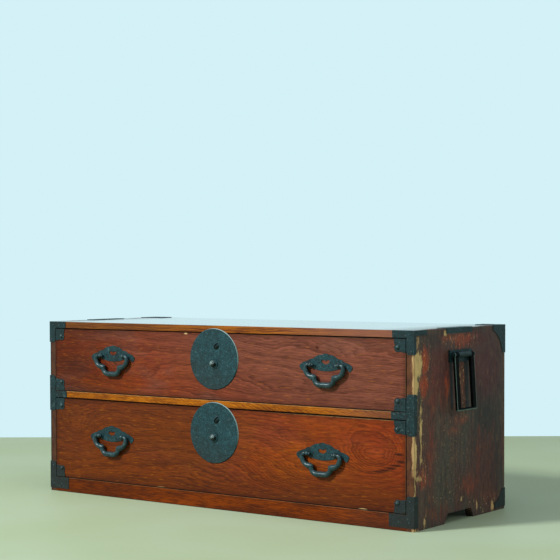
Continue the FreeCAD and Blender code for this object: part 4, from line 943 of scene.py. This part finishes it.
class CHEST_OT_locks(bpy.types.Operator):
    """Finish the lock plates, hoods, buttons, cases and bolts."""

    bl_idname = "chest.locks"
    bl_label = "Locks"

    def execute(self, context):
        colours = context.scene.chest_colours
        edge = context.scene.chest_sizes.iron_edge
        plain = iron("lock_iron", colours.sheet_dark, colours.lock_dark, 0.5, 0.6)
        fittings = (
            ("_keyhole_hood", colours.forged, colours.forged_dark, math.radians(37)),
            ("_lock_button", colours.rubbed_and_highlight, colours.sheet_dark, 0),
        )
        for drawer in ("upper", "lower"):
            low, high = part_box(drawer + "_lock_plate")
            middle = (low + high) / 2
            rim = (middle.x, middle.z, (high.x - low.x) / 2)
            name = drawer + "_disc_iron"
            disc = iron(name, colours.sheet, colours.forged_dark, 0.48, 0.08, speck=0.9, rim=rim)
            dress([drawer + "_lock_plate"], disc)
            for part, light, dark, tilt in fittings:
                low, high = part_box(drawer + part)
                middle = (low + high) / 2
                shade = (middle.x, middle.z, (high.x - low.x) / 2, tilt)
                bright = iron(drawer + part + "_iron", light, dark, 0.32, 0.05, speck=0.6, shade=shade)
                dress([drawer + part], bright)
            dress([drawer + "_lock_case", drawer + "_lock_bolt"], plain, edge)
        return {"FINISHED"}


class CHEST_OT_handles(bpy.types.Operator):
    """Finish the drawer handles: cloud plates, posts and bracken bails."""

    bl_idname = "chest.handles"
    bl_label = "Drawer handles"

    def execute(self, context):
        colours = context.scene.chest_colours
        plate = iron("plate_iron", colours.sheet, colours.sheet_dark, 0.46, 0.1)
        bail = iron("bail_iron", colours.forged, colours.forged_dark, 0.32, 0.05, 0.3)
        for drawer in ("upper", "lower"):
            for hand in ("left", "right"):
                dress([drawer + "_handle_plate_" + hand], plate)
                dress([drawer + "_bail_" + hand], bail)
            dress([drawer + "_handle_posts"], bail)
        return {"FINISHED"}


class CHEST_OT_carrying(bpy.types.Operator):
    """Finish the carrying handles of the sides."""

    bl_idname = "chest.carrying"
    bl_label = "Carrying handles"

    def execute(self, context):
        colours = context.scene.chest_colours
        edge = context.scene.chest_sizes.iron_edge
        bar = iron("carrying_iron", colours.case_sheet, colours.sheet_dark, 0.5, 0.1)
        for hand in ("left", "right"):
            low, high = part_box("carrying_bail_" + hand)
            half = (high.y - low.y) / 2
            arms = ((low.y + high.y) / 2, low.z, max(abs(low.x), abs(high.x)), half)
            name = "carrying_bail_iron_" + hand
            worn = iron(name, colours.sheet_dark, colours.soot_and_shade, 0.6, 0.1, 0.02, 0.2, arms=arms)
            dress(["carrying_bail_" + hand], worn, edge * 2)
            dress(["carrying_mount_" + hand], bar)
        return {"FINISHED"}


def add_light(name, place, target, size, power, tint):
    """A soft square light aimed at a point."""
    data = bpy.data.lights.new(name, "AREA")
    data.size = size
    data.energy = power
    data.color = tint
    lamp = bpy.data.objects.new(name, data)
    bpy.context.scene.collection.objects.link(lamp)
    lamp.location = place
    lamp.rotation_euler = (Vector(target) - Vector(place)).to_track_quat("-Z", "Y").to_euler()


def make_floor_finish():
    """The plain pale floor."""
    finish = Finish("floor")
    x, y, z = finish.place()
    cloud = finish.noise(x * 2, y * 2, z, 2)
    base = finish.mix(cloud * 0.25, finish.colours.floor, finish.colours.backdrop)
    return finish.close(base_color=base, roughness=0.6, specular=0.2)


class CHEST_OT_studio(bpy.types.Operator):
    """Build the floor, the light and the camera."""

    bl_idname = "chest.studio"
    bl_label = "Studio"

    def execute(self, context):
        scene = context.scene
        studio = scene.chest_studio
        scene.view_settings.view_transform = "Standard"
        data = bpy.data.cameras.new("camera")
        data.lens = studio.lens
        data.sensor_width = 36
        data.shift_y = studio.shift
        camera = bpy.data.objects.new("camera", data)
        scene.collection.objects.link(camera)
        camera.location = (studio.camera_x, studio.camera_y, studio.camera_z)
        turn = Matrix.Rotation(studio.turn, 4, "Z")
        fall = Matrix.Rotation(math.pi / 2 - studio.fall, 4, "X")
        roll = Matrix.Rotation(studio.roll, 4, "Z")
        camera.rotation_euler = (turn @ fall @ roll).to_euler()
        scene.camera = camera

        ahead = Vector((-math.sin(studio.turn), math.cos(studio.turn), 0))
        across = Vector((ahead.y, -ahead.x, 0))
        end = Vector((studio.camera_x, studio.camera_y, 0)) + ahead * studio.floor_end
        shape = bmesh.new()
        reach = 14
        corners = [end - across * reach, end + across * reach]
        corners += [corner - ahead * 2 * reach for corner in reversed(corners)]
        shape.faces.new([shape.verts.new(corner) for corner in reversed(corners)])
        mesh = bpy.data.meshes.new("floor")
        shape.to_mesh(mesh)
        shape.free()
        mesh.materials.append(make_floor_finish())
        floor = bpy.data.objects.new("floor", mesh)
        scene.collection.objects.link(floor)

        add_light("key_light", (-3.4, -6.7, 5.4), (0, 0, 0.25), 1.5, studio.key, (1, 0.985, 0.96))
        add_light("side_light", (6.0, 0.4, 3.5), (0.57, 0, 0.25), 2.0, studio.side, (1, 0.99, 0.97))
        add_light("top_light", (0.6, -0.8, 3.4), (0, 0, 0.2), 2.6, studio.sky, (0.97, 0.99, 1))
        self.light_world(scene, studio)
        return {"FINISHED"}

    def light_world(self, scene, studio):
        """An even world: the backdrop's colour to the eye and in gloss, plain white as light."""
        world = bpy.data.worlds.new("studio")
        world.use_nodes = True
        scene.world = world
        nodes = world.node_tree.nodes
        links = world.node_tree.links
        nodes.clear()
        path = nodes.new("ShaderNodeLightPath")
        seen = nodes.new("ShaderNodeMath")
        seen.operation = "MAXIMUM"
        links.new(path.outputs["Is Camera Ray"], seen.inputs[0])
        links.new(path.outputs["Is Glossy Ray"], seen.inputs[1])
        either = nodes.new("ShaderNodeMath")
        either.operation = "MAXIMUM"
        links.new(seen.outputs[0], either.inputs[0])
        links.new(path.outputs["Is Transmission Ray"], either.inputs[1])
        light = nodes.new("ShaderNodeBackground")
        light.inputs["Color"].default_value = (1, 1, 1, 1)
        light.inputs["Strength"].default_value = studio.fill
        view = nodes.new("ShaderNodeBackground")
        view.inputs["Color"].default_value = (*scene.chest_colours.backdrop, 1)
        view.inputs["Strength"].default_value = 1
        mix = nodes.new("ShaderNodeMixShader")
        links.new(either.outputs[0], mix.inputs[0])
        links.new(light.outputs[0], mix.inputs[1])
        links.new(view.outputs[0], mix.inputs[2])
        output = nodes.new("ShaderNodeOutputWorld")
        links.new(mix.outputs[0], output.inputs["Surface"])


OPERATORS = [
    CHEST_OT_case,
    CHEST_OT_drawers,
    CHEST_OT_irons,
    CHEST_OT_locks,
    CHEST_OT_handles,
    CHEST_OT_carrying,
    CHEST_OT_studio,
]


class CHEST_PT_panel(bpy.types.Panel):
    """The chest's settings and the steps that dress it."""

    bl_idname = "CHEST_PT_panel"
    bl_label = "Chest"
    bl_space_type = "VIEW_3D"
    bl_region_type = "UI"
    bl_category = "Chest"

    def draw(self, context):
        column = self.layout.column()
        for group in (context.scene.chest_colours, context.scene.chest_sizes, context.scene.chest_studio):
            for name in group.bl_rna.properties.keys():
                if name not in ("rna_type", "name"):
                    column.prop(group, name)
        for step in OPERATORS:
            column.operator(step.bl_idname)


GROUPS = {"chest_colours": ChestColours, "chest_sizes": ChestSizes, "chest_studio": ChestStudio}


def register():
    """Register the settings, the steps and the panel."""
    for name, group in GROUPS.items():
        bpy.utils.register_class(group)
        setattr(bpy.types.Scene, name, PointerProperty(type=group))
    for step in OPERATORS:
        bpy.utils.register_class(step)
    bpy.utils.register_class(CHEST_PT_panel)


def unregister():
    """Take everything out again."""
    bpy.utils.unregister_class(CHEST_PT_panel)
    for step in reversed(OPERATORS):
        bpy.utils.unregister_class(step)
    for name, group in GROUPS.items():
        delattr(bpy.types.Scene, name)
        bpy.utils.unregister_class(group)


def main():
    """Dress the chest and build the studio."""
    register()
    for step in OPERATORS:
        family, name = step.bl_idname.split(".")
        getattr(getattr(bpy.ops, family), name)()


if __name__ == "__main__":
    main()
